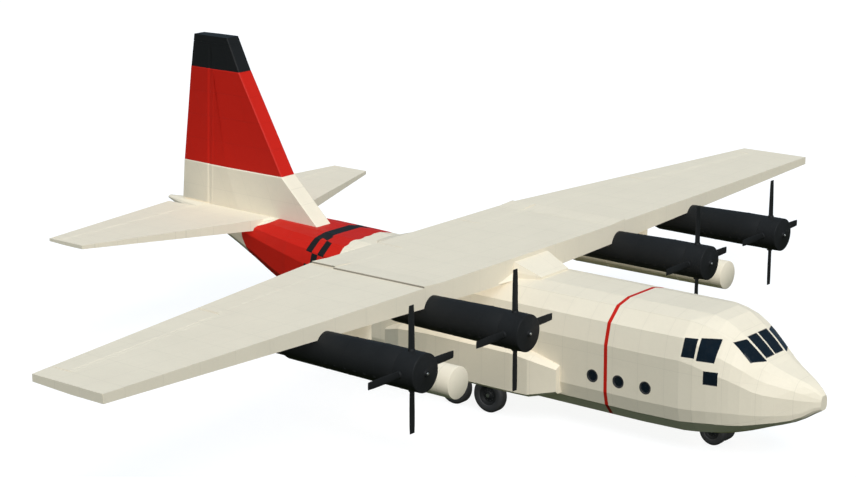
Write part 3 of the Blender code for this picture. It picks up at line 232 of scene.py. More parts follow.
def paint_colour(name, description, default):
    """A colour that a user may change."""
    return FloatVectorProperty(
        name=name, description=description, default=default, size=3, min=0.0, max=1.0, subtype="COLOR",
    )


def length(name, description, default):
    """A size of the real plane that a user may change."""
    return FloatProperty(
        name=name, description=description, default=default, min=0.0, subtype="DISTANCE", unit="LENGTH",
    )


def strength(name, description, default, most=100.0):
    """The strength of a light, or a share of it."""
    return FloatProperty(name=name, description=description, default=default, min=0.0, max=most)


class PlaneLivery(bpy.types.PropertyGroup):
    """Paint colours and the places of the painted bands."""

    cream: paint_colour("Cream", "Main paint of fuselage, wing and tail", (0.735, 0.66, 0.52))
    red: paint_colour("Red", "Rear fuselage, fin and warning ring", (0.50, 0.0150, 0.0083))
    black: paint_colour("Black", "Nacelles, propellers, fin cap and rear ring", (0.0125, 0.0132, 0.0135))
    glass: paint_colour("Glass", "Tint of cockpit panes and portholes", (0.0035, 0.0075, 0.012))
    rubber: paint_colour("Rubber", "Tyres and seals", (0.022, 0.022, 0.023))
    cabin: paint_colour("Cabin grey", "Floors and panels inside", (0.20, 0.22, 0.22))
    warning_x: length("Warning ring", "Place of the red ring ahead of the propellers", 7.89)
    warning_width: length("Ring width", "Width of the red warning ring", 0.14)
    check_size: length("Check size", "Width of a red or black check behind the wing", 0.31)


class PlaneDetails(bpy.types.PropertyGroup):
    """Sizes of the fine parts."""

    pane_inset: length("Pane inset", "How far glass sits below the skin", 0.018)
    seal_radius: length("Seal radius", "Half width of the seal round a pane", 0.016)
    groove_depth: length("Tread depth", "Depth of the grooves in a tyre", 0.018)
    seam_pitch: length("Seam pitch", "Distance between panel seams along the fuselage", 1.02)
    wheel_bolts: IntProperty(
        name="Wheel bolts", description="Bolts round each hub", default=10, min=3, max=24,
    )


class PlaneStage(bpy.types.PropertyGroup):
    """Floor, light and lens."""

    floor: paint_colour("Floor", "Colour of the studio floor", (0.46, 0.46, 0.46))
    floor_glow: strength("Floor glow", "Light that the floor gives off", 0.58)
    key_power: strength("Key light", "Strength of the main light", 3.85)
    shadow_share: strength("Shadows", "Share of the main light that casts shadows", 0.25, 1.0)
    fill_power: strength("Fill light", "Strength of the lights from behind", 1.1)
    sky: paint_colour("Sky light", "Light that comes from above the floor", (0.150, 0.230, 0.315))
    ground: paint_colour("Ground light", "Light that comes from below", (0.060, 0.075, 0.036))
    lens: FloatProperty(name="Lens", description="Focal length in millimetres", default=88.31, min=1.0)


# Geometry helpers


def turns_of(count, start=0.0):
    """Evenly spaced angles round a circle."""
    return [2 * pi * (k + start) / count for k in range(count)]


class Draft:
    """A mesh drawn in metres of the real plane, which becomes one piece of the half-size model."""

    def __init__(self):
        self.bm = bmesh.new()
        self.finish = 0

    def face(self, corners):
        self.bm.faces.new(corners).material_index = self.finish

    def rings(self, rings, closed=False):
        """Joins rings of equal length by quads; closed joins the last ring to the first."""
        rows = [[self.bm.verts.new(point) for point in ring] for ring in rings]
        pairs = list(zip(rows, rows[1:]))
        if closed:
            pairs.append((rows[-1], rows[0]))
        for near, far in pairs:
            for k in range(len(near)):
                turn = (k + 1) % len(near)
                self.face((near[k], near[turn], far[turn], far[k]))
        if not closed:
            self.face(list(reversed(rows[0])))
            self.face(rows[-1])

    def turned(self, profile, axis, centre, steps, closed=False):
        """Turns (radius, along) about X or Y; a radius of 0 closes to a point."""
        rows = []
        for radius, along in profile:
            row = []
            for turn in turns_of(steps if radius > 0 else 1):
                across, up = radius * cos(turn), radius * sin(turn)
                place = (along, across, up) if axis == "X" else (across, along, up)
                row.append(self.bm.verts.new(Vector(centre) + Vector(place)))
            rows.append(row)
        pairs = list(zip(rows, rows[1:]))
        if closed:
            pairs.append((rows[-1], rows[0]))
        for near, far in pairs:
            for k in range(steps):
                after = (k + 1) % steps
                corners = [near[k % len(near)], near[after % len(near)]]
                corners += [far[after % len(far)], far[k % len(far)]]
                distinct = list(dict.fromkeys(corners))
                if len(distinct) > 2:
                    self.face(distinct)

    def hoop(self, y, z, x, radius, height, half_width, slope):
        """A thin band round a body that lies along X."""
        low, high = x - half_width, x + half_width
        top = radius + height
        profile = [(radius, low), (top, low + slope), (top, high - slope), (radius, high)]
        self.turned(profile, "X", (0.0, y, z), 64, closed=True)

    def block(self, low, high, bevel=0.0):
        """A box, its edges rounded by the bevel."""
        made = bmesh.ops.create_cube(self.bm, size=1.0)["verts"]
        for vert in made:
            vert.co = Vector([low[i] if vert.co[i] < 0 else high[i] for i in range(3)])
        faces = {face for vert in made for face in vert.link_faces}
        if bevel:
            edges = {edge for face in faces for edge in face.edges}
            bevelled = bmesh.ops.bevel(
                self.bm, geom=list(edges), offset=bevel, segments=2, profile=0.7, affect="EDGES",
            )
            faces = {face for face in faces if face.is_valid}
            faces |= {face for vert in bevelled["verts"] for face in vert.link_faces}
        for face in faces:
            face.material_index = self.finish

    def tube(self, points, radius, steps=10, closed=False):
        """A round bar along the points."""
        points = [Vector(point) for point in points]
        count = len(points)
        rings = []
        side = None
        for k, point in enumerate(points):
            before = points[k - 1] if k or closed else point
            after = points[(k + 1) % count] if k < count - 1 or closed else point
            along = (after - before).normalized()
            if side is None:
                helper = Vector((0, 0, 1)) if abs(along.z) < 0.9 else Vector((1, 0, 0))
                side = along.cross(helper)
            side = (side - along * side.dot(along)).normalized()
            over = along.cross(side)
            rings.append([point + radius * (side * cos(t) + over * sin(t)) for t in turns_of(steps)])
        self.rings(rings, closed=closed)

    def studs(self, places, axis, radius, height, steps=8):
        """Round-headed bolts or rivets standing on the points along the axis."""
        axis = Vector(axis).normalized()
        for place in places:
            place = Vector(place)
            foot, head = place - axis * height, place + axis * height
            self.tube([foot, place, head - axis * height * 0.3], radius, steps)

    def piece(self, name, body, slot, finishes, replaces=(), sharp=35.0):
        """Ends the drawing: a smooth-shaded object with sharp edges, which moves with its body."""
        bm = self.bm
        bmesh.ops.recalc_face_normals(bm, faces=bm.faces)
        bmesh.ops.scale(bm, vec=(MODEL_SCALE,) * 3, verts=bm.verts)
        mesh = bpy.data.meshes.new(name)
        bm.to_mesh(mesh)
        bm.free()
        for finish in finishes:
            mesh.materials.append(finish)
        mesh.polygons.foreach_set("use_smooth", [True] * len(mesh.polygons))
        mesh.set_sharp_from_angle(angle=radians(sharp))
        obj = bpy.data.objects.new(name, mesh)
        bpy.context.scene.collection.objects.link(obj)
        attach(obj, body)
        if replaces:
            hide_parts(*replaces)
        return obj


def between(rows, at):
    """The values of a table at a place between its rows."""
    for first, second in zip(rows, rows[1:]):
        low, high = sorted((first[0], second[0]))
        if low <= at <= high:
            share = (at - first[0]) / (second[0] - first[0])
            return [a + (b - a) * share for a, b in zip(first, second)]
    raise ValueError(f"{at} is outside the table")


def skin_ring(x):
    """The flat-sided section of the fuselage as (y, z) points, port side first."""
    rows = [(row[0], *(value for corner in row[1:] for value in corner)) for row in SKIN_SECTIONS]
    values = between(rows, x)[1:]
    port = list(zip(values[0::2], values[1::2]))
    return port + [(-y, z) for y, z in reversed(port)]


def on_skin(x, y, z, inset):
    """The point of the skin that a ray from the section's middle through (y, z) meets, drawn in."""
    ring = skin_ring(x)
    middle = (ring[0][1] + ring[7][1]) / 2
    ray = Vector((y, z - middle))
    points = [Vector((point[0], point[1] - middle)) for point in ring]
    for near, far in zip(points, points[1:] + points[:1]):
        edge = far - near
        cross = ray.x * edge.y - ray.y * edge.x
        if abs(cross) < 1e-9:
            continue
        reach = (near.x * edge.y - near.y * edge.x) / cross
        along = (near.x * ray.y - near.y * ray.x) / cross
        if reach > 0 and -1e-6 <= along <= 1 + 1e-6:
            hit = ray * reach
            hit -= ray.normalized() * inset
            return Vector((x, hit.x, hit.y + middle))
    raise ValueError(f"no skin at {x}, {y}, {z}")


# Finishes


class Recipe:
    """The node tree of one finish, laid out a step at a time in metres of the real plane."""

    def __init__(self, name):
        self.material = bpy.data.materials.new(name)
        self.material.use_nodes = True
        self.nodes = self.material.node_tree.nodes
        self.links = self.material.node_tree.links
        self.shader = self.nodes["Principled BSDF"]
        coordinates = self.nodes.new("ShaderNodeTexCoord")
        self.place = self.scaled(coordinates.outputs["Object"], 1 / MODEL_SCALE)
        apart = self.nodes.new("ShaderNodeSeparateXYZ")
        self.join(apart.inputs[0], self.place)
        self.x, self.y, self.z = apart.outputs

    def join(self, socket, value):
        """Links a node's output, or sets a plain number or colour."""
        if isinstance(value, bpy.types.NodeSocket):
            self.links.new(value, socket)
        elif hasattr(value, "__len__") and len(value) == 3 and socket.type == "RGBA":
            socket.default_value = (*value, 1.0)
        else:
            socket.default_value = value

    def math(self, how, first, second=0.0, third=0.0):
        made = self.nodes.new("ShaderNodeMath")
        made.operation = how
        for socket, value in zip(made.inputs, (first, second, third)):
            self.join(socket, value)
        return made.outputs[0]

    def line(self, value, slope, start):
        """The value times a slope, from a start."""
        return self.math("MULTIPLY_ADD", value, slope, start)

    def above(self, value, limit):
        return self.math("GREATER_THAN", value, limit)

    def below(self, value, limit):
        return self.math("LESS_THAN", value, limit)

    def band(self, value, low, high):
        """1 between two places, 0 outside."""
        return self.both(self.above(value, low), self.below(value, high))

    def either(self, *masks):
        return self.gathered("MAXIMUM", masks)

    def both(self, *masks):
        return self.gathered("MULTIPLY", masks)

    def gathered(self, how, masks):
        made = masks[0]
        for mask in masks[1:]:
            made = self.math(how, made, mask)
        return made

    def mixed(self, share, first, second):
        """One colour laid over another where the share is 1."""
        made = self.nodes.new("ShaderNodeMix")
        made.data_type = "RGBA"
        for index, value in ((0, share), (6, first), (7, second)):
            self.join(made.inputs[index], value)
        return made.outputs[2]

    def scaled(self, vector, factor):
        """A vector or colour times a number."""
        made = self.nodes.new("ShaderNodeVectorMath")
        made.operation = "SCALE"
        self.join(made.inputs[0], vector)
        self.join(made.inputs[3], factor)
        return made.outputs[0]

    def darkened(self, colour, mask, share):
        """A colour lowered by a share where the mask is 1."""
        return self.scaled(colour, self.line(mask, -share, 1.0))

    def noise(self, scale, detail=3.0, roughness=0.5, stretch=None):
        """Cloudy noise, drawn out along an axis by a small stretch factor."""
        vector = self.place
        if stretch:
            drawn = self.nodes.new("ShaderNodeVectorMath")
            drawn.operation = "MULTIPLY"
            self.join(drawn.inputs[0], vector)
            drawn.inputs[1].default_value = stretch
            vector = drawn.outputs[0]
        made = self.nodes.new("ShaderNodeTexNoise")
        for index, value in ((0, vector), (2, scale), (3, detail), (4, roughness)):
            self.join(made.inputs[index], value)
        return made.outputs["Fac"]

    def ramp(self, value, low, high, floor=0.0, ceiling=1.0):
        """Rises smoothly from floor to ceiling as the value goes from low to high."""
        made = self.nodes.new("ShaderNodeMapRange")
        made.interpolation_type = "SMOOTHSTEP"
        for index, number in enumerate((value, low, high, floor, ceiling)):
            self.join(made.inputs[index], number)
        return made.outputs[0]

    def seam(self, value, pitch, width, offset=0.0):
        """Narrow lines at every pitch along a value."""
        away = self.math("PINGPONG", self.math("ADD", value, offset), pitch / 2)
        return self.ramp(away, width * 0.5, width * 0.9, 1.0, 0.0)

    def dots(self, first, second, pitch, radius):
        """Rivet heads on a square grid of two values."""
        sides = [self.math("PINGPONG", value, pitch / 2) for value in (first, second)]
        away = self.math("SQRT", self.math("ADD", *(self.math("POWER", side, 2.0) for side in sides)))
        return self.ramp(away, radius * 0.6, radius, 1.0, 0.0)

    def streaks(self, stretch, low=0.58, high=0.78):
        """Faint dirt drawn out along the air's path."""
        return self.ramp(self.noise(1.0, 4.0, 0.65, stretch), low, high)

    def weathered(self, colour, light=1.04, dark=0.96):
        """Slow and fine changes of shade over a paint."""
        shade = self.line(self.noise(0.55, 4.0, 0.6), (light - dark) * 1.2, dark - 0.02)
        shade = self.line(self.noise(9.0), 0.04, self.math("SUBTRACT", shade, 0.02))
        return self.scaled(colour, shade)

    def bump(self, *layers, flat=False):
        """Stacks (height, strength, distance) layers; flat keeps each facet plain, as on sheet metal."""
        normal = self.nodes.new("ShaderNodeNewGeometry").outputs["True Normal"] if flat else None
        for height, strength, distance in layers:
            made = self.nodes.new("ShaderNodeBump")
            made.inputs["Strength"].default_value = strength
            made.inputs["Distance"].default_value = distance * MODEL_SCALE
            self.join(made.inputs["Height"], height)
            if normal:
                self.join(made.inputs["Normal"], normal)
            normal = made.outputs["Normal"]
        self.join(self.shader.inputs["Normal"], normal)

    def ends(self, colour, roughness, metallic=0.0, **others):
        """Gives the shader its colour, roughness and plain values, and returns the material."""
        self.join(self.shader.inputs["Base Color"], colour)
        self.join(self.shader.inputs["Roughness"], roughness)
        self.shader.inputs["Metallic"].default_value = metallic
        for name, value in others.items():
            self.shader.inputs[name.replace("_", " ")].default_value = value
        return self.material

    def ends_as_skin(self, colour, seams, rivets, line_shade, dirt, sheen, wave_scale):
        """Painted sheet metal: shaded seams and rivet heads, shallow waves, and a patchy sheen."""
        colour = self.weathered(colour)
        colour = self.darkened(colour, self.either(seams, rivets), line_shade)
        if dirt:
            colour = self.darkened(colour, *dirt)
        scale, spread, low = sheen
        waves = self.noise(wave_scale, 2.0)
        self.bump((waves, 0.05, 0.03), (seams, 0.4, -0.006), (rivets, 0.5, 0.004), flat=True)
        roughness = self.line(self.noise(scale), spread, low)
        return self.ends(colour, roughness, Specular_IOR_Level=PAINT_SPECULAR)


def fuselage_finish(livery, details):
    """Cream skin with the warning ring, the red rear, the black ring and its checks, seams and rivets."""
    recipe = Recipe("FuselagePaint")
    x, y, z = recipe.x, recipe.y, recipe.z
    half_ring = livery.warning_width / 2
    front_edge = recipe.line(recipe.noise(1.0, 0.0, stretch=(0.0, 2.2, 2.2)), 0.25, -4.50)
    rear_edge = recipe.math(
        "ADD", recipe.ramp(z, 3.6, 4.3, -9.35, -9.72), recipe.ramp(z, 4.45, 4.90, 0.0, 1.15),
    )
    red_rear = recipe.both(recipe.below(x, front_edge), recipe.above(x, rear_edge))
    warning_ring = recipe.band(x, livery.warning_x - half_ring, livery.warning_x + half_ring)
    colour = recipe.mixed(recipe.either(red_rear, warning_ring), livery.cream, livery.red)
    colour = recipe.mixed(checks(recipe, livery.check_size), colour, livery.black)

    around = recipe.math("ARCTAN2", recipe.math("SUBTRACT", z, SKIN_MIDDLE_Z), y)
    around = recipe.math("MULTIPLY", around, SKIN_HALF_WIDTH)
    seams = recipe.either(recipe.seam(x, details.seam_pitch, 0.012), recipe.seam(around, 1.65, 0.010, 0.3))
    near_hoop = recipe.seam(x, details.seam_pitch, 0.09)
    rivets = recipe.both(recipe.dots(x, around, 0.06, RIVET_RADIUS), near_hoop)
    dirt = (recipe.streaks((0.35, 1.5, 1.5)), 0.04)
    return recipe.ends_as_skin(colour, seams, rivets, 0.09, dirt, (3.0, 0.16, 0.40), 1.6)


def checks(recipe, size):
    """Where the black ring over the roof and the checks down the sides lie."""
    x, z = recipe.x, recipe.z
    row_height = 1.44 * size
    climb = recipe.math("ADD", recipe.line(x, 0.1, 0.51), recipe.math("SUBTRACT", z, 4.69))
    crown = recipe.above(z, 4.79)
    ring_front = recipe.line(crown, -0.08, CHECKS_FRONT - size)
    ring = recipe.both(
        recipe.above(x, CHECKS_FRONT - 3 * size), recipe.below(x, ring_front), recipe.above(climb, 0.0),
    )
    column = recipe.math("FLOOR", recipe.math("DIVIDE", recipe.math("SUBTRACT", x, CHECKS_FRONT), size))
    row = recipe.math("FLOOR", recipe.math("DIVIDE", climb, row_height))
    parity = recipe.math("PINGPONG", recipe.math("ADD", column, row), 1.0)
    side_checks = recipe.both(
        recipe.band(x, CHECKS_FRONT - 3 * size, CHECKS_FRONT),
        recipe.band(climb, -8 * row_height, 0.0),
        recipe.below(parity, 0.5),
    )
    return recipe.either(ring, side_checks)


def wing_finish(livery):
    """Cream skin of wing and tailplane, with spanwise and chordwise seams and rivets."""
    recipe = Recipe("WingPaint")
    x, y = recipe.x, recipe.y
    swept = recipe.line(recipe.math("ABSOLUTE", y), 0.045, x)
    seams = recipe.either(recipe.seam(y, 1.49, 0.012), recipe.seam(swept, 1.06, 0.012, 0.28))
    near = recipe.either(recipe.seam(y, 1.49, 0.09), recipe.seam(x, 1.06, 0.09, 0.28))
    rivets = recipe.both(recipe.dots(x, y, 0.07, RIVET_RADIUS), near)
    dirt = (recipe.streaks((0.6, 2.6, 1.0)), 0.035)
    return recipe.ends_as_skin(livery.cream, seams, rivets, 0.08, dirt, (2.4, 0.18, 0.42), 1.3)


def fin_finish(livery):
    """Fin and rudder: cream foot, red middle and black cap, with seams and rivets."""
    recipe = Recipe("FinPaint")
    x, z = recipe.x, recipe.z
    colour = recipe.mixed(recipe.above(z, FIN_RED_Z), livery.cream, livery.red)
    colour = recipe.mixed(recipe.above(z, FIN_CAP_Z), colour, livery.black)
    seams = recipe.either(
        recipe.seam(recipe.line(z, 0.42, x), 1.25, 0.012, 0.4), recipe.seam(z, 0.97, 0.012, 0.22),
    )
    rivets = recipe.both(recipe.dots(x, z, 0.07, RIVET_RADIUS), recipe.seam(z, 0.97, 0.09, 0.22))
    return recipe.ends_as_skin(colour, seams, rivets, 0.08, None, (2.4, 0.18, 0.42), 1.3)


def tank_finish(livery):
    """Cream paint of tanks, with hoop seams."""
    recipe = Recipe("TankPaint")
    hoops = recipe.seam(recipe.x, 1.55, 0.014, 0.3)
    colour = recipe.darkened(recipe.weathered(livery.cream), hoops, 0.18)
    roughness = recipe.line(recipe.noise(2.4), 0.18, 0.40)
    recipe.bump((recipe.noise(1.3, 2.0), 0.05, 0.03), (hoops, 0.4, -0.006))
    return recipe.ends(colour, roughness, Specular_IOR_Level=PAINT_SPECULAR)


def black_finish(livery, name, stretch, low=0.5, high=0.8):
    """Black paint, greyed by exhaust in streaks or patches."""
    recipe = Recipe(name)
    colour = recipe.weathered(livery.black, 1.35, 0.75)
    dust = recipe.math("MULTIPLY", recipe.streaks(stretch, low, high), 0.03)
    colour = recipe.mixed(dust, colour, (0.10, 0.097, 0.093))
    roughness = recipe.line(recipe.noise(4.0), 0.2, 0.42)
    recipe.bump((recipe.noise(2.2, 2.0), 0.05, 0.03), (recipe.noise(90.0, 2.0), 0.05, 0.002))
    return recipe.ends(colour, roughness, Specular_IOR_Level=PAINT_SPECULAR)


def glass_finish(livery):
    """Dark tinted glass with faint smears, slightly see-through."""
    recipe = Recipe("WindowGlass")
    smears = recipe.noise(1.5, stretch=(1.0, 4.0, 4.0))
    colour = recipe.mixed(smears, livery.glass, (0.006, 0.012, 0.019))
    roughness = recipe.ramp(smears, 0.4, 0.8, 0.05, 0.14)
    return recipe.ends(colour, roughness, Alpha=0.93, IOR=1.5, Specular_IOR_Level=0.15)


def painted_step_shade_finish(livery):
    """Dull grey strip along a joint, soiled in patches: painted shade for the upright face of a wing step.
    """
    recipe = Recipe("PaintedStepShade")
    # Dark grey: painted shade, where the step's upright face stands in shade
    colour = recipe.weathered(tuple(0.34 * part for part in livery.cream), 1.2, 0.8)
    recipe.bump((recipe.noise(40.0), 0.2, 0.003))
    return recipe.ends(colour, recipe.line(recipe.noise(12.0), 0.2, 0.6), Specular_IOR_Level=PAINT_SPECULAR)


def rubber_finish(livery):
    """Tyre rubber with patches of dust and patchy roughness."""
    recipe = Recipe("TyreRubber")
    dust = recipe.ramp(recipe.noise(6.0, 5.0, 0.7), 0.52, 0.75, 0.0, 0.35)
    colour = recipe.mixed(dust, recipe.weathered(livery.rubber, 1.3, 0.8), (0.10, 0.092, 0.08))
    recipe.bump((recipe.noise(60.0, 4.0), 0.25, 0.004))
    return recipe.ends(colour, recipe.line(recipe.noise(12.0), 0.25, 0.62))


def metal_finish(name, colour, roughness, stretch=(1.0, 1.0, 1.0)):
    """Worn bare or plated metal."""
    recipe = Recipe(name)
    grain = recipe.noise(24.0, 4.0, stretch=stretch)
    grease = recipe.ramp(recipe.noise(5.0, 5.0, 0.7), 0.55, 0.8, 0.0, 0.5)
    colour = recipe.mixed(grease, recipe.weathered(colour, 1.15, 0.8), (0.05, 0.045, 0.04))
    recipe.bump((grain, 0.08, 0.002))
    return recipe.ends(colour, recipe.line(grain, 0.22, roughness), metallic=1.0)


def cabin_finish(livery):
    """Painted cabin metal with scuffs and a non-slip grain."""
    recipe = Recipe("CabinGrey")
    grid = recipe.either(recipe.seam(recipe.x, 0.52, 0.01), recipe.seam(recipe.y, 0.52, 0.01))
    scuffs = recipe.ramp(recipe.noise(3.0, 5.0, stretch=(1.0, 8.0, 8.0)), 0.6, 0.72, 0.0, 0.35)
    colour = recipe.mixed(scuffs, recipe.weathered(livery.cabin, 1.12, 0.85), (0.42, 0.43, 0.43))
    colour = recipe.darkened(colour, grid, 0.25)
    recipe.bump((recipe.noise(140.0, 2.0), 0.2, 0.003), (grid, 0.3, -0.004))
    return recipe.ends(colour, recipe.line(recipe.noise(8.0), 0.2, 0.5))


def fabric_finish():
    """Woven olive seat fabric."""
    recipe = Recipe("SeatFabric")
    slant = recipe.math("ADD", recipe.x, recipe.z)
    threads = recipe.math("ADD", *(recipe.math("PINGPONG", value, 0.004) for value in (slant, recipe.y)))
    colour = recipe.weathered((0.060, 0.078, 0.052), 1.25, 0.8)
    colour = recipe.scaled(colour, recipe.line(threads, 40.0, 0.82))
    recipe.bump((threads, 0.5, 0.6), (recipe.noise(18.0), 0.2, 0.01))
    return recipe.ends(colour, 0.88, Sheen_Weight=0.35, Sheen_Roughness=0.5)


def dial_finish():
    """The clear, faintly lit cover of a dial."""
    recipe = Recipe("ClearLamp")
    colour = (0.75, 0.77, 0.78)
    tint = recipe.mixed(recipe.noise(30.0), colour, tuple(0.7 * part for part in colour))
    recipe.shader.inputs["Emission Color"].default_value = (*colour, 1.0)
    return recipe.ends(tint, 0.12, Emission_Strength=0.1, IOR=1.5)


FINISHES = {}


def finishes(*names):
    return [FINISHES[name] for name in names]


def dress(nodes, finish):
    """Gives carried-over CAD nodes a procedural finish."""
    for name in nodes:
        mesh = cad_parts[name].data
        if not mesh.materials:
            mesh.materials.append(FINISHES[finish])
        for index in range(len(mesh.materials)):
            mesh.materials[index] = FINISHES[finish]


CARRIED_OVER = (
    # finish, CAD nodes that keep their own shape
    (
        "fuselage",
        ("radome", "forward_fuselage", "centre_fuselage", "aft_fuselage", "tail_cone", "crew_door",
         "troop_door_left", "troop_door_right", "cargo_ramp", "rear_cargo_door", "sponson_left",
         "sponson_right", "wing_fairing"),
    ),
    (
        "wing",
        ("wing_centre", "wing_left", "wing_right", "stabilizer_left", "stabilizer_right", "elevator_left",
         "elevator_right", "aileron_left", "aileron_right", "flap_left_inner", "flap_left_outer",
         "flap_right_inner", "flap_right_outer"),
    ),
    ("steel", ("main_gear_left", "main_gear_right", "nose_gear_leg", "nose_fork")),
    ("engine", ("engine_1", "engine_2", "engine_3", "engine_4")),
    ("cabin", ("cargo_floor", "flight_deck", "instrument_panel")),
)


class PlaneOperator:
    """What the operators share."""

    bl_options = {"REGISTER", "UNDO"}

    @classmethod
    def poll(cls, context):
        return context.scene is not None


class PLANE_OT_finishes(PlaneOperator, bpy.types.Operator):
    """Mixes the finishes and paints the nodes that keep their own shape"""

    bl_idname = "plane.finishes"
    bl_label = "Paint and Finishes"

    def execute(self, context):
        livery, details = context.scene.plane_livery, context.scene.plane_details
        FINISHES.update({
            "fuselage": fuselage_finish(livery, details),
            "wing": wing_finish(livery),
            "fin": fin_finish(livery),
            "black": black_finish(livery, "NacellePaint", (0.5, 3.0, 3.0)),
            "propeller": black_finish(livery, "PropellerPaint", (3.0, 3.0, 3.0)),
            "cream": tank_finish(livery),
            "glass": glass_finish(livery),
            # Painted shade on the upright faces of the wing steps
            "painted_step_shade": painted_step_shade_finish(livery),
            "rubber": rubber_finish(livery),
            "steel": metal_finish("GearSteel", (0.36, 0.36, 0.37), 0.30),
            "hub": metal_finish("HubMetal", (0.12, 0.12, 0.12), 0.40),
            "wheel": black_finish(livery, "WheelPaint", (3.0, 3.0, 3.0)),
            "engine": metal_finish("EngineIron", (0.20, 0.19, 0.18), 0.45),
            "exhaust": metal_finish("ExhaustSteel", (0.055, 0.050, 0.046), 0.50, (1.0, 6.0, 6.0)),
            "bright": metal_finish("BrightMetal", (0.48, 0.48, 0.47), 0.34),
            "cabin": cabin_finish(livery),
            "fabric": fabric_finish(),
            "dial": dial_finish(),
        })
        for finish, nodes in CARRIED_OVER:
            dress(nodes, finish)
        return {"FINISHED"}


def pane_grid(corners, side, inset, grow, steps):
    """Rows of points over a pane, larger than its opening by grow and following the skin."""
    points = [Vector((x, y * side, z)) for x, y, z in corners]
    middle = sum(points, Vector()) / 4
    points = [point + (point - middle).normalized() * grow for point in points]
    rows = []
    for i in range(steps + 1):
        top, low = points[0].lerp(points[1], i / steps), points[3].lerp(points[2], i / steps)
        rows.append([on_skin(*top.lerp(low, j / steps), inset) for j in range(steps + 1)])
    return rows


def round_edge(grid):
    """What lies round the edge of a square grid, in order."""
    edge = grid[0][:-1] + [row[-1] for row in grid[:-1]]
    return edge + list(reversed(grid[-1][1:])) + [row[0] for row in reversed(grid[1:])]


class PLANE_OT_windows(PlaneOperator, bpy.types.Operator):
    """Cockpit panes with their seals, and the portholes"""

    bl_idname = "plane.windows"
    bl_label = "Windows"

    def execute(self, context):
        details = context.scene.plane_details
        panes, seals = Draft(), Draft()
        inset = details.pane_inset
        for _, *corners in COCKPIT_PANES:
            for _, side in SIDES:
                layers = []
                for depth in (inset, inset + PANE_THICKNESS):
                    grid = pane_grid(corners, side, depth, PANE_OVERLAP, PANE_STEPS)
                    layers.append([[panes.bm.verts.new(point) for point in row] for row in grid])
                    for near, far in zip(layers[-1], layers[-1][1:]):
                        for j in range(PANE_STEPS):
                            panes.face((near[j], near[j + 1], far[j + 1], far[j]))
                outer, inner = (round_edge(layer) for layer in layers)
                for k in range(len(outer)):
                    panes.face((outer[k - 1], outer[k], inner[k], inner[k - 1]))
                edge = round_edge(pane_grid(corners, side, inset, 0.0, 8))
                seals.tube(edge, details.seal_radius, 6, closed=True)
        panes.piece(
            "CockpitPanes", "airframe", "glazing", finishes("glass"),
            replaces=("cockpit_glazing",), sharp=12,
        )
        seals.piece("CockpitSeals", "airframe", "tyre", finishes("rubber"))
        self.portholes()
        return {"FINISHED"}

    def portholes(self):
        glass, rims = Draft(), Draft()
        for x in PORTHOLE_X:
            for _, side in SIDES:
                skin = abs(on_skin(max(x, SKIN_SECTIONS[0][0]), 2.0 * side, PORTHOLE_Z, 0.0).y)
                for draft, profile in ((glass, PORTHOLE_GLASS), (rims, PORTHOLE_RIM)):
                    rows = [(radius, (skin + height) * side) for radius, height in profile]
                    draft.turned(rows, "Y", (x, 0.0, PORTHOLE_Z), 40, closed=draft is rims)
        glass.piece("PortholeGlass", "airframe", "glazing", finishes("glass"))
        rims.piece("PortholeRims", "airframe", "tyre", finishes("rubber"))


def blade_section(radius, chord, thickness, pitch):
    """A slim rounded section across the blade, its chord pitched forward from the propeller's plane."""
    along = Vector((sin(radians(pitch)), cos(radians(pitch)), 0.0))
    across = Vector((cos(radians(pitch)), -sin(radians(pitch)), 0.0))
    points = []
    for turn in turns_of(20):
        u = cos(turn) / 2
        v = sin(turn) / 2 * (1 - 0.35 * cos(turn))
        points.append(along * (chord * u) + across * (thickness * v) + Vector((0, 0, radius)))
    return points


class PLANE_OT_propellers(PlaneOperator, bpy.types.Operator):
    """Four-bladed propellers with their drum spinners"""

    bl_idname = "plane.propellers"
    bl_label = "Propellers"

    def execute(self, context):
        for number, y, _, _ in ENGINES:
            centre = Vector((PROPELLER_X, y, ENGINE_Z))
            draft = Draft()
            draft.turned(SPINNER_PROFILE, "X", (0.0, y, ENGINE_Z), 64)
            for x in SPINNER_BANDS:
                draft.hoop(y, ENGINE_Z, x, 0.628, 0.006, 0.012, 0.004)
            root = BLADE_STATIONS[0][0]
            for k in range(BLADES):
                turn = Matrix.Rotation(2 * pi * k / BLADES, 4, "X")
                rings = []
                for j in range(BLADE_STEPS + 1):
                    station = between(BLADE_STATIONS, root + (PROPELLER_RADIUS - root) * j / BLADE_STEPS)
                    rings.append([centre + turn @ point for point in blade_section(*station)])
                draft.rings(rings)
                rings = []
                for radius, reach in BLADE_CUFF:
                    ring = [Vector((reach * cos(t), reach * sin(t), radius)) for t in turns_of(24)]
                    rings.append([centre + turn @ point for point in ring])
                draft.rings(rings)
            bolts = [(7.2, y + 0.4 * cos(t), ENGINE_Z + 0.4 * sin(t)) for t in turns_of(SPINNER_BOLTS)]
            draft.studs(bolts, (1, 0, 0), 0.012, 0.006)
            draft.finish = 1
            draft.turned(SPINNER_TIP, "X", (0.0, y, ENGINE_Z), 24)
            node = f"propeller_{number}"
            draft.piece(
                f"Propeller{number}", node, "propeller_paint", finishes("propeller", "bright"),
                replaces=(node,),
            )
        return {"FINISHED"}


